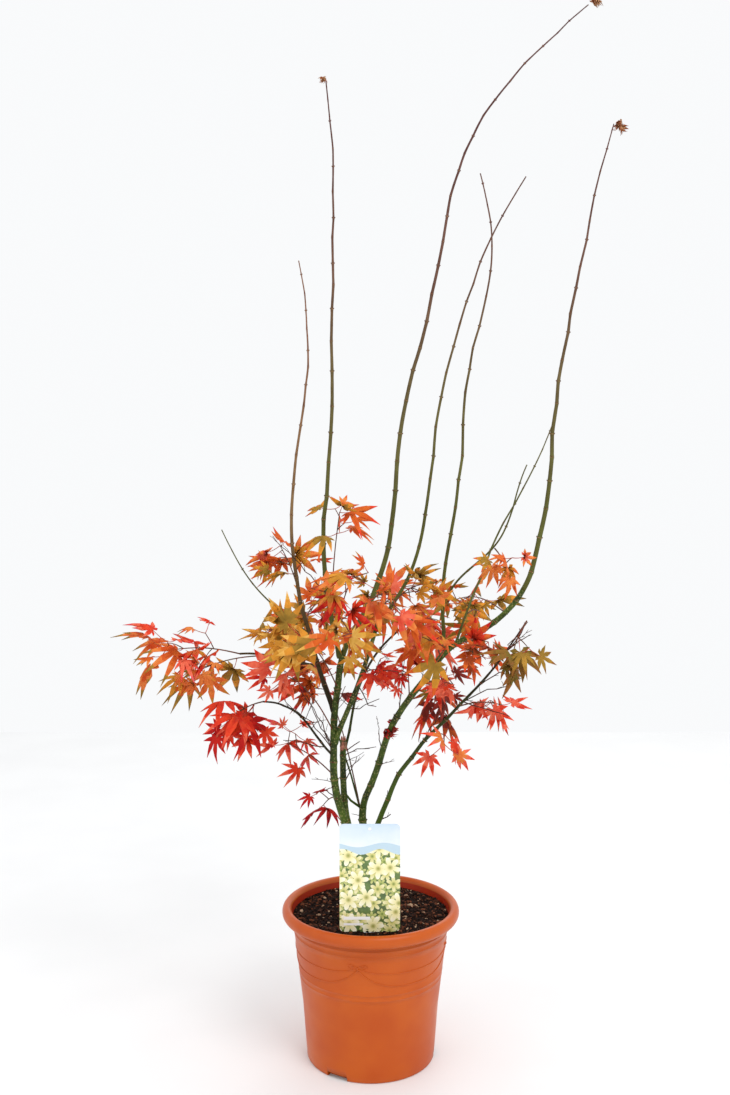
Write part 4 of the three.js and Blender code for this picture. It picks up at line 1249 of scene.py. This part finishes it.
# %% Hang a shrivelled bunch
BUNCH_LEAVES, BUNCH_AT, BUNCH_OUT = 6, 0.47, 9
bm_bunch = bmesh.new()
bunch_foot = limb_point(LIMBS["right_bough"], BUNCH_AT)
for i in range(BUNCH_LEAVES):
    way = unit(np.array([draw(-1, 0.4), draw(-1, 0.2), draw(-0.6, 0.8)]))
    size, turn = draw(13, 20), draw(0, 6.28)
    axes = Vector(way).to_track_quat("X", "Z").to_matrix().to_4x4() @ Matrix.Rotation(turn, 4, "X")
    place = Matrix.Translation(metres(bunch_foot + way * BUNCH_OUT)) @ axes @ Matrix.Scale(size * MM, 4)
    lay(bm_bunch, DRIED[i % len(DRIED)], place, (HEART, LOBE, POINT))
bunch_looks = [PALETTE["wine"], PALETTE["red"], PALETTE["wine"]]
thicken(piece("shrivelled_bunch", bm_bunch, bunch_looks), -1)

# %% [markdown]
# ## The pot
# The pot is moulded plastic: a round tub that widens upwards, with a rolled rim, two fine ridges below it,
# and a raised garland of ribbons and bows round its wall. Its wall is one closed profile spun about the
# axis, and the notches under its foot are cut from it afterwards. Above the soil the inner face gets a
# deeper red, which is painted shade for the inside of the pot.

# %% Give the pot its sizes
POT_HEIGHT = 277.5
POT_WALL = [(115.7, 3), (123, 100), (137.5, 222), (142, 253.5)]
WALL_THICK, FLOOR_THICK = 3, 6
RIM_RADIUS, RIM_HALF_WIDE, RIM_HALF_HIGH, RIM_START, RIM_STEPS = 151.6, 8.6, 11.3, -140, 20
RIM_GROOVE_RADIUS, RIM_GROOVE_TOP = 143.5, 260.5
INNER_SHADE_TOP = POT_HEIGHT - 0.6 * RIM_HALF_HIGH
RIDGES, RIDGE_PROUD, RIDGE_WIDE = (233, 244), 0.5, 2
FINE_RINGS, RING_PROUD, FINE_RING_WIDE = (153, 163), 0.3, 2
NOTCHES = dict(count=3, angle=239, wide=40, high=9, deep=12)
FOOT = [(0, 1.2), (95, 1.2), (99, 0), (112.7, 0), (114.8, 0.9), (115.7, 3)]


def wall_radius(height):
    """The outer radius of the wall at a height, both in millimetres."""
    return float(np.interp(height, [h for _, h in POT_WALL], [r for r, _ in POT_WALL]))


INNER_WALL = [(radius - WALL_THICK, height) for radius, height in POT_WALL[1:]]
INNER_WALL.append((RIM_RADIUS - RIM_HALF_WIDE, POT_HEIGHT - RIM_HALF_HIGH))


def inner_radius(height):
    """The radius of the wall's inner face at a height, up to the rolled rim."""
    return float(np.interp(height, [h for _, h in INNER_WALL], [r for r, _ in INNER_WALL]))


print("The pot is", POT_HEIGHT, "mm high and", 2 * (RIM_RADIUS + RIM_HALF_WIDE), "mm across the rim.")


# %% Spin the pot from its profile
def spun(profile, steps):
    """A closed solid of revolution from (radius, height) points in millimetres."""
    bm = bmesh.new()
    verts = [bm.verts.new((radius * MM, 0, height * MM)) for radius, height in profile]
    for a, b in zip(verts, verts[1:]):
        bm.edges.new((a, b))
    if profile[0][0] > 0:
        bm.edges.new((verts[-1], verts[0]))
    bmesh.ops.spin(bm, geom=bm.verts[:] + bm.edges[:], cent=(0, 0, 0), axis=(0, 0, 1), dvec=(0, 0, 0),
                   angle=2 * math.pi, steps=steps, use_merge=True, use_duplicate=False)
    bmesh.ops.remove_doubles(bm, verts=bm.verts[:], dist=1e-6)
    bmesh.ops.recalc_face_normals(bm, faces=bm.faces[:])
    return bm


def ridge(height, proud, wide):
    """Profile points of one rounded ridge on the wall."""
    points = []
    for i in range(7):
        turn = math.pi * i / 6
        level = height - wide / 2 * math.cos(turn)
        points.append((wall_radius(level) + proud * math.sin(turn), level))
    return points


outer = FOOT + [(wall_radius(height), height) for height in (20, 60, 100, 145)]
for height in FINE_RINGS:
    outer += ridge(height, RING_PROUD, FINE_RING_WIDE)
outer += [(wall_radius(height), height) for height in (185, 205, 222)]
for height in RIDGES:
    outer += ridge(height, RIDGE_PROUD, RIDGE_WIDE)
outer += [POT_WALL[-1], (RIM_GROOVE_RADIUS, RIM_GROOVE_TOP)]
for i in range(RIM_STEPS + 1):
    roll = math.radians(RIM_START + (180 - RIM_START) * i / RIM_STEPS)
    height = POT_HEIGHT - RIM_HALF_HIGH * (1 - math.sin(roll))
    outer.append((RIM_RADIUS + RIM_HALF_WIDE * math.cos(roll), height))
inner = INNER_WALL[-2::-1]
inner += [(POT_WALL[0][0] - WALL_THICK, FLOOR_THICK), (0, FLOOR_THICK)]
bm_pot = spun(outer + inner, 160)
# Inward faces between the floor and the rim's top get the second material: a deeper red that is painted
# shade.
for face in bm_pot.faces:
    middle = face.calc_center_median()
    inward = middle.x * face.normal.x + middle.y * face.normal.y < 0
    face.material_index = 1 if inward and FLOOR_THICK < middle.z / MM < INNER_SHADE_TOP else 0
print("The pot's profile has", len(outer + inner), "points.")

# %% Mix the plastic
terracotta = finish("terracotta_plastic", (192, 86, 14), (184, 76, 10), 14, speck=(198, 98, 26),
                    speck_scale=900, speck_share=0.2, rough=(0.3, 0.42), bump=0.1, bump_depth=0.0003,
                    shine=0.3)
# The inner face's material is painted shade: a deeper red for the shade inside the pot, not a colour of the
# plastic.
inner_shade_terracotta = finish("inner_shade_terracotta", (170, 44, 8), (158, 36, 6), 20, rough=(0.3, 0.45), bump=0.1,
                         bump_depth=0.0003, shine=0.3)
pot = piece("pot_tub", bm_pot, [terracotta, inner_shade_terracotta], ["pot"])


# %% Cut the notches under the foot
bm_notches = bmesh.new()
for i in range(NOTCHES["count"]):
    turn = math.radians(NOTCHES["angle"] + 360 * i / NOTCHES["count"])
    place = Matrix.Rotation(turn, 4, "Z") @ Matrix.Translation((POT_WALL[0][0] * MM, 0, 0))
    sizes = (2 * NOTCHES["deep"] * MM, NOTCHES["wide"] * MM, 2 * NOTCHES["high"] * MM, 1)
    bmesh.ops.create_cube(bm_notches, size=1, matrix=place @ Matrix.Diagonal(sizes))
cut_away(pot, "notches", bm_notches)

# %% [markdown]
# ### The garland
# The ornament is an old garden pattern: four bows round the wall, and from each to the next an upper ribbon
# that sags a little and a swag that hangs lower. Each line is a thin tube half sunk in the wall, so it reads
# as one moulding with the pot.

# %% Lay ribbons, swags and bows on the wall
BOWS, BOW_ANGLE, BOW_HEIGHT = 4, -99.7, 213
# For the ribbon and the swag: how far below the bow they start, how far they hang and how thick they are.
HANGINGS, FLATNESS = [(0, 11, 0.9), (-3, 32, 1.0)], 3.2
# For a bow's outer and inner loop: the length in degrees and the height.
LOOPS, LOOP_LIFT, LOOP_STEPS, LOOP_THICK = [(7, 4.2), (4.4, 2.2)], 0.3, 18, 0.75
LINE_STEPS, TAIL_SHARES = 48, 4
# A knot's three rings: how high above the bow's middle, how proud of the wall and how thick.
KNOT = [(3.5, 0.2, 1.0), (0, 0.5, 1.8), (-3.5, 0.2, 1.0)]
bm_garland = bmesh.new()


def on_wall(angle, height, proud=0.2):
    """A place on the pot's wall, angle in degrees."""
    turn, radius = math.radians(angle), wall_radius(height) + proud
    return Vector((math.cos(turn) * radius, math.sin(turn) * radius, height)) * MM


def moulding(points, radius, taper=0.6):
    """A line of relief through (angle, height) points, thinner at both ends."""
    count = len(points) - 1
    stations = []
    for i, (angle, height) in enumerate(points):
        width = radius * (taper + (1 - taper) * math.sin(math.pi * i / count))
        stations.append((on_wall(angle, height), width * MM))
    append(bm_garland, tube(stations, 8))


shares = [i / LINE_STEPS for i in range(LINE_STEPS + 1)]
for n in range(BOWS):
    middle = BOW_ANGLE + 360 * n / BOWS
    for foot, drop, wide in HANGINGS:
        line = []
        for share in shares:
            sag = drop * (1 - abs(2 * share - 1) ** FLATNESS)
            line.append((middle + 360 / BOWS * share, BOW_HEIGHT + foot - sag))
        moulding(line, wide, 0.8)
    for hand in (1, -1):
        for long, tall in LOOPS:
            loop = []
            for i in range(LOOP_STEPS + 1):
                turn = 2 * math.pi * i / LOOP_STEPS
                rise = tall * math.sin(turn) + LOOP_LIFT * long * (1 - math.cos(turn))
                loop.append((middle + hand * long / 2 * (1 - math.cos(turn)), BOW_HEIGHT + rise))
            moulding(loop, LOOP_THICK, 1)
        tail = [(middle + hand * (0.5 + 3.6 * share), BOW_HEIGHT - 2 - 8 * share)
                for share in shares[::TAIL_SHARES]]
        moulding(tail, 0.8)
    knot = [(on_wall(middle, BOW_HEIGHT + above, proud), thick * MM) for above, proud, thick in KNOT]
    append(bm_garland, tube(knot, 10))
piece("pot_garland", bm_garland, [terracotta])

# %% [markdown]
# ## Soil
# Potting mix is dark, crumbly bark and peat with a few pale grains. Its surface is a spun skin pushed up and
# down by noise, and thousands of crumbs lie on it, each a small lumpy stone of a few faces.

# %% Heap the soil
SOIL_TOP, SOIL_DROP, SOIL_FLAT = 262, 3, 0.7
SOIL_GAP, SKIN_STEPS, SKIN_LOW, SMOOTH_EDGE = 0.4, 56, 255, 0.93
soil_edge = inner_radius(SOIL_TOP - SOIL_DROP) - SOIL_GAP


def soil_height(share):
    """The soil's height at a share of its radius: level in the middle, and lower towards the wall."""
    return SOIL_TOP - SOIL_DROP * max(0, share - SOIL_FLAT) / (1 - SOIL_FLAT)


skin = [(soil_edge * i / SKIN_STEPS, soil_height(i / SKIN_STEPS)) for i in range(SKIN_STEPS + 1)]
body = [(inner_radius(height) - SOIL_GAP, height) for height in (253.5, 222, 100)]
bm_soil = spun(skin + body + [(112, 6.4), (0, 6.4)], 180)
for vert in bm_soil.verts:
    if vert.co.z > SKIN_LOW * MM:
        edge = max(0, vert.co.xy.length / MM / soil_edge - SMOOTH_EDGE) / (1 - SMOOTH_EDGE)
        lumps = noise.noise(vert.co * 60) * 1.6 + noise.noise(vert.co * 190) * 1.3 - 0.6
        vert.co.z += lumps * (1 - edge) * MM
dark_mix = finish("dark_mix", (34, 18, 11), (18, 9, 6), 130, speck=(66, 40, 26), speck_scale=700,
                  speck_share=0.6, rough=(0.85, 0.98), bump=0.9, bump_depth=0.002, shine=0.1)
piece("soil_bed", bm_soil, [dark_mix], ["soil"])

# %% Scatter the crumbs
CRUMBS, SMALL_CRUMBS = 3800, 0.8
# The share of crumbs up to and with each kind, its name and its two colours.
CRUMB_KINDS = [
    (0.46, "dark_crumb", (36, 20, 12), (18, 10, 7)),
    (0.78, "brown_crumb", (76, 42, 26), (44, 24, 15)),
    (0.96, "rust_crumb", (122, 70, 44), (86, 48, 30)),
    (1.01, "pale_crumb", (190, 160, 132), (150, 118, 92)),
]
crumb_looks = [finish(name, base, second, 300, rough=(0.8, 0.95), bump=0.6, shine=0.15)
               for _, name, base, second in CRUMB_KINDS]


def lumpy(seed):
    """A small stone: a ball of twenty faces with each corner pushed in or out."""
    bm = bmesh.new()
    bmesh.ops.create_icosphere(bm, subdivisions=1, radius=1)
    draw = dice(seed)
    for vert in bm.verts:
        vert.co *= draw(0.6, 1.25)
    mesh = bpy.data.meshes.new("lump")
    bm.to_mesh(mesh)
    bm.free()
    return mesh


lumps = [lumpy(seed) for seed in range(1, 9)]
bm_crumbs = bmesh.new()
draw = dice(2026)
for i in range(CRUMBS):
    turn, away = draw(0, 2 * math.pi), soil_edge * math.sqrt(draw(0, 1)) * 0.985
    size = draw(0.9, 2.2) if draw() < SMALL_CRUMBS else draw(2.2, 4.2)
    kind = draw()
    flat = draw(0.4, 0.9)
    spin = Matrix.Rotation(draw(0, 6.28), 4, "Z") @ Matrix.Rotation(draw(-0.5, 0.5), 4, "X")
    height = soil_height(away / soil_edge) + draw(-1.0, 1.4)
    spot = Vector((math.cos(turn) * away, math.sin(turn) * away, height)) * MM
    shape = Matrix.Diagonal((size * draw(1, 1.8) * MM, size * MM, size * flat * MM, 1))
    look = next(number for number, row in enumerate(CRUMB_KINDS) if kind < row[0])
    lay(bm_crumbs, lumps[i % len(lumps)], Matrix.Translation(spot) @ spin @ shape, (look,))
piece("soil_crumbs", bm_crumbs, crumb_looks, smooth=False)

# %% [markdown]
# ## The care label
# The label is a glossy card about the size of a hand, with round corners, a hole near the top and a spike in
# the soil. Its design is a plain one: a pale sky above a soft hill, and below it a bank of round cream
# blossoms on green with two white bars. The print is worked out by the shader from the place on the card.

# %% Cut the card
LABEL_X, LABEL_Y = -1.9, -95
LABEL_WIDE, LABEL_LOW, LABEL_HIGH, LABEL_THICK = 104.8, 262.5, 453, 1.2
LABEL_CORNER, LABEL_EDGE = 8, 0.25


def plate(corners, thick):
    """An upright plate that faces the front, from (x, z) corners, in millimetres."""
    bm = bmesh.new()
    verts = [bm.verts.new((x * MM, (LABEL_Y - thick / 2) * MM, z * MM)) for x, z in corners]
    bmesh.ops.contextual_create(bm, geom=verts)
    grown = bmesh.ops.extrude_face_region(bm, geom=bm.faces[:])["geom"]
    back = [part for part in grown if isinstance(part, bmesh.types.BMVert)]
    bmesh.ops.translate(bm, vec=(0, thick * MM, 0), verts=back)
    bmesh.ops.recalc_face_normals(bm, faces=bm.faces[:])
    return bm


def edge_depth(edge):
    """How far an edge runs from front to back, in millimetres."""
    return abs(edge.verts[0].co.y - edge.verts[1].co.y) / MM


left, right = LABEL_X - LABEL_WIDE / 2, LABEL_X + LABEL_WIDE / 2
corners = [(left, LABEL_LOW), (right, LABEL_LOW), (right, LABEL_HIGH), (left, LABEL_HIGH)]
bm_card = plate(corners, LABEL_THICK)
corner_edges = [edge for edge in bm_card.edges if edge_depth(edge) > 0.5 * LABEL_THICK]
bmesh.ops.bevel(bm_card, geom=corner_edges, offset=LABEL_CORNER * MM, affect="EDGES", segments=8, profile=0.5,
                material=-1)
rims = [edge for edge in bm_card.edges if edge_depth(edge) < 1e-4]
bmesh.ops.bevel(bm_card, geom=rims, offset=LABEL_EDGE * MM, affect="EDGES", segments=2, profile=0.5,
                material=-1)
print("The card has", len(bm_card.faces), "faces before its hole is cut.")


# %% Write the helpers for the print
def worked(tree, kind, first, second=0):
    """One step of arithmetic on two values, each a number or a socket."""
    node = new_node(tree, "ShaderNodeMath", [("operation", kind)])
    fill(tree, node.inputs[0], first)
    fill(tree, node.inputs[1], second)
    return node.outputs[0]


def below_wave(tree, x, z, waves, swell, level):
    """True below a wavy line across the card."""
    wave = worked(tree, "SINE", worked(tree, "MULTIPLY", x, waves))
    line = worked(tree, "ADD", worked(tree, "MULTIPLY", wave, swell), level)
    return worked(tree, "LESS_THAN", z, line)


PETALS, PETAL_DEPTH, TURNS = 3, 0.68, 6


def blossoms(tree, flat, inside, colour, scale, shift, reach, tones):
    """Lays round blossoms of six petals, one to a cell, each turned its own way, over a colour."""
    spread = new_node(tree, "ShaderNodeMapping", Vector=flat, Location=(shift, shift, 0)).outputs[0]
    cells = new_node(tree, "ShaderNodeTexVoronoi", [("voronoi_dimensions", "2D")], Vector=spread, Scale=scale,
                     Randomness=0.7)
    away = new_node(tree, "ShaderNodeVectorMath", [("operation", "SUBTRACT")])
    fill(tree, away.inputs[0], spread)
    fill(tree, away.inputs[1], cells.outputs["Position"])
    parts = new_node(tree, "ShaderNodeSeparateXYZ", Vector=away.outputs[0]).outputs
    dealt = new_node(tree, "ShaderNodeSeparateColor", Color=cells.outputs["Color"]).outputs[0]
    angle = worked(tree, "MULTIPLY", worked(tree, "ARCTAN2", parts["Y"], parts["X"]), PETALS)
    angle = worked(tree, "ADD", angle, worked(tree, "MULTIPLY", dealt, TURNS))
    petal = worked(tree, "ABSOLUTE", worked(tree, "COSINE", angle))
    petal = worked(tree, "MULTIPLY", petal, PETAL_DEPTH * reach)
    limit = worked(tree, "ADD", petal, (1 - PETAL_DEPTH) * reach)
    away = cells.outputs["Distance"]
    shown = worked(tree, "MULTIPLY", worked(tree, "LESS_THAN", away, limit), inside)
    tone = ramp(tree, away, list(zip((0.03, 0.3 * reach, 0.95 * reach), tones)))
    return blended(tree, shown, colour, tone)


print("A blossom has", 2 * PETALS, "petals.")

# %% Print the plain design
SKY_LOW, BAR_LEFT = 0.4, 7
BARS = [(0.284, 0.2895, 0.046), (0.274, 0.278, 0.034)]
BLOSSOM_SIZES = [
    (52, 0.31, 0.5, ((96, 124, 52), (168, 180, 96), (206, 206, 134))),
    (36, 0.17, 0.5, ((130, 146, 62), (214, 208, 128), (240, 234, 186))),
    (25, 0.05, 0.47, ((160, 160, 76), (238, 230, 166), (253, 250, 228))),
]


def card_print():
    """A pale sky over a wavy bank of cream blossoms on green, all worked out from the place on the card."""
    material, tree, shader = blank_material("card_print")
    shader.inputs["Coat Weight"].default_value = 0.2
    place = new_node(tree, "ShaderNodeTexCoord").outputs["Object"]
    split = new_node(tree, "ShaderNodeSeparateXYZ", Vector=place).outputs
    x, z = split["X"], split["Z"]
    flat = new_node(tree, "ShaderNodeCombineXYZ", X=x, Y=z).outputs[0]
    haze = new_node(tree, "ShaderNodeTexNoise", Vector=place, Scale=26).outputs["Fac"]

    # The sky pales towards the bank, with a soft far hill before it.
    rise = new_node(tree, "ShaderNodeMapRange", Value=z, From_Min=SKY_LOW, From_Max=LABEL_HIGH * MM)
    colour = blended(tree, rise.outputs["Result"], (236, 243, 248), (172, 204, 236))
    colour = blended(tree, worked(tree, "MULTIPLY", haze, 0.6), colour, (250, 252, 254))
    colour = blended(tree, below_wave(tree, x, z, 70, 0.004, 0.416), colour, (190, 214, 228))

    # The bank is dark green, and three sizes of blossom lie over one another on it.
    in_bank = below_wave(tree, x, z, 95, 0.005, 0.404)
    leafy = new_node(tree, "ShaderNodeTexNoise", Vector=place, Scale=90).outputs["Fac"]
    colour = blended(tree, in_bank, colour, blended(tree, leafy, (28, 52, 36), (120, 150, 74)))
    for scale, shift, reach, tones in BLOSSOM_SIZES:
        colour = blossoms(tree, flat, in_bank, colour, scale, shift, reach, tones)

    # Two plain white bars stand at the foot on the left.
    start = (LABEL_X - LABEL_WIDE / 2 + BAR_LEFT) * MM
    for low, high, long in BARS:
        inside = worked(tree, "GREATER_THAN", z, low)
        for test, value, limit in (("LESS_THAN", z, high), ("GREATER_THAN", x, start),
                                   ("LESS_THAN", x, start + long)):
            inside = worked(tree, "MULTIPLY", inside, worked(tree, test, value, limit))
        colour = blended(tree, inside, colour, (250, 250, 248))
    tree.links.new(colour, shader.inputs["Base Color"])
    ranged(tree, haze, shader.inputs["Roughness"], 0.25, 0.4)
    return material


print("The blossoms come in", len(BLOSSOM_SIZES), "sizes.")

# %% Punch the hole and print the front
HOLE_RADIUS, HOLE_DROP, HOLE_SIDES, PUNCH_LONG = 3, 9, 24, 0.01
white_card = finish("white_card", (238, 240, 238), (226, 230, 230), 40, rough=(0.3, 0.42), bump=0.05)
card = piece("care_card", bm_card, [card_print(), white_card], ["care_label"], smooth=False)
hole_place = Matrix.Translation((LABEL_X * MM, LABEL_Y * MM, (LABEL_HIGH - HOLE_DROP) * MM))
bm_hole = bmesh.new()
bmesh.ops.create_cone(bm_hole, cap_ends=True, segments=HOLE_SIDES, radius1=HOLE_RADIUS * MM,
                      radius2=HOLE_RADIUS * MM, depth=PUNCH_LONG,
                      matrix=hole_place @ Matrix.Rotation(math.pi / 2, 4, "X"))
cut_away(card, "punch", bm_hole, smooth=True)
for face in card.data.polygons:
    if face.normal.y > 0.5:
        face.material_index = 1

# %% Add the spike
SPIKE_WIDE, SPIKE_LONG, SPIKE_TIP, SPIKE_LAP, SPIKE_THINNER = 22, 80, 8, 2, 0.2
half, low = SPIKE_WIDE / 2, LABEL_LOW - SPIKE_LONG
outline = [(-half, LABEL_LOW + SPIKE_LAP), (-half, low + SPIKE_TIP), (0, low), (half, low + SPIKE_TIP),
           (half, LABEL_LOW + SPIKE_LAP)]
bm_spike = plate([(LABEL_X + x, z) for x, z in outline], LABEL_THICK - SPIKE_THINNER)
piece("card_spike", bm_spike, [white_card], smooth=False)

# %% [markdown]
# ## Floor and light
# The floor is a plain pale sheet. A large soft light from the front right and a weaker one from the left
# give broad shading with hardly any shadow, and a bright surround fills the rest.

# %% Lay the floor
FLOOR_REACH = 2.6
bm_floor = bmesh.new()
bmesh.ops.create_grid(bm_floor, x_segments=2, y_segments=2, size=FLOOR_REACH)
floor = bpy.data.objects.new("floor", mesh_from(bm_floor, "floor", smooth=False))
bpy.context.scene.collection.objects.link(floor)
floor_white = finish("studio_floor", (241, 241, 241), (238, 238, 238), 3, rough=(0.7, 0.8), bump=0.02,
                     shine=0.1)
floor.data.materials.append(floor_white)
floor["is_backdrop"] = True
print("The floor reaches", FLOOR_REACH, "m to each side.")

# %% Hang the lights
# Each light's name, place, size and power.
LIGHTS = [
    ("key_light", (1.4, -2.1, 3.2), 1.6, 48),
    ("fill_light", (-2.4, -1.8, 1.9), 1.8, 8),
    ("back_light", (0.6, 2.6, 2.8), 2.0, 14),
]
SURROUND, SURROUND_POWER = (0.97, 0.98, 0.99, 1), 0.98
aim = Vector((0, 0, 0.8))
for name, place, size, power in LIGHTS:
    data = bpy.data.lights.new(name, "AREA")
    data.size, data.energy = size, power
    light = bpy.data.objects.new(name, data)
    light.location = place
    light.rotation_euler = (aim - Vector(place)).to_track_quat("-Z", "Y").to_euler()
    bpy.context.scene.collection.objects.link(light)
world = bpy.data.worlds.new("surround")
world.use_nodes = True
world.node_tree.nodes["Background"].inputs["Color"].default_value = SURROUND
world.node_tree.nodes["Background"].inputs["Strength"].default_value = SURROUND_POWER
bpy.context.scene.world = world
bpy.context.scene.view_settings.view_transform = "Standard"
print("Lights:", len(LIGHTS))

# %% [markdown]
# ## Sizes and the end
# The finished plant is measured beside the plain solids, because the looks may not outgrow them.

# %% Measure and finish
made_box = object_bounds()
sizes = {"cad": [list(corner) for corner in cad_box], "made": [list(corner) for corner in made_box]}
print("The plant is", round((made_box[1] - made_box[0]).z, 3), "m tall.")
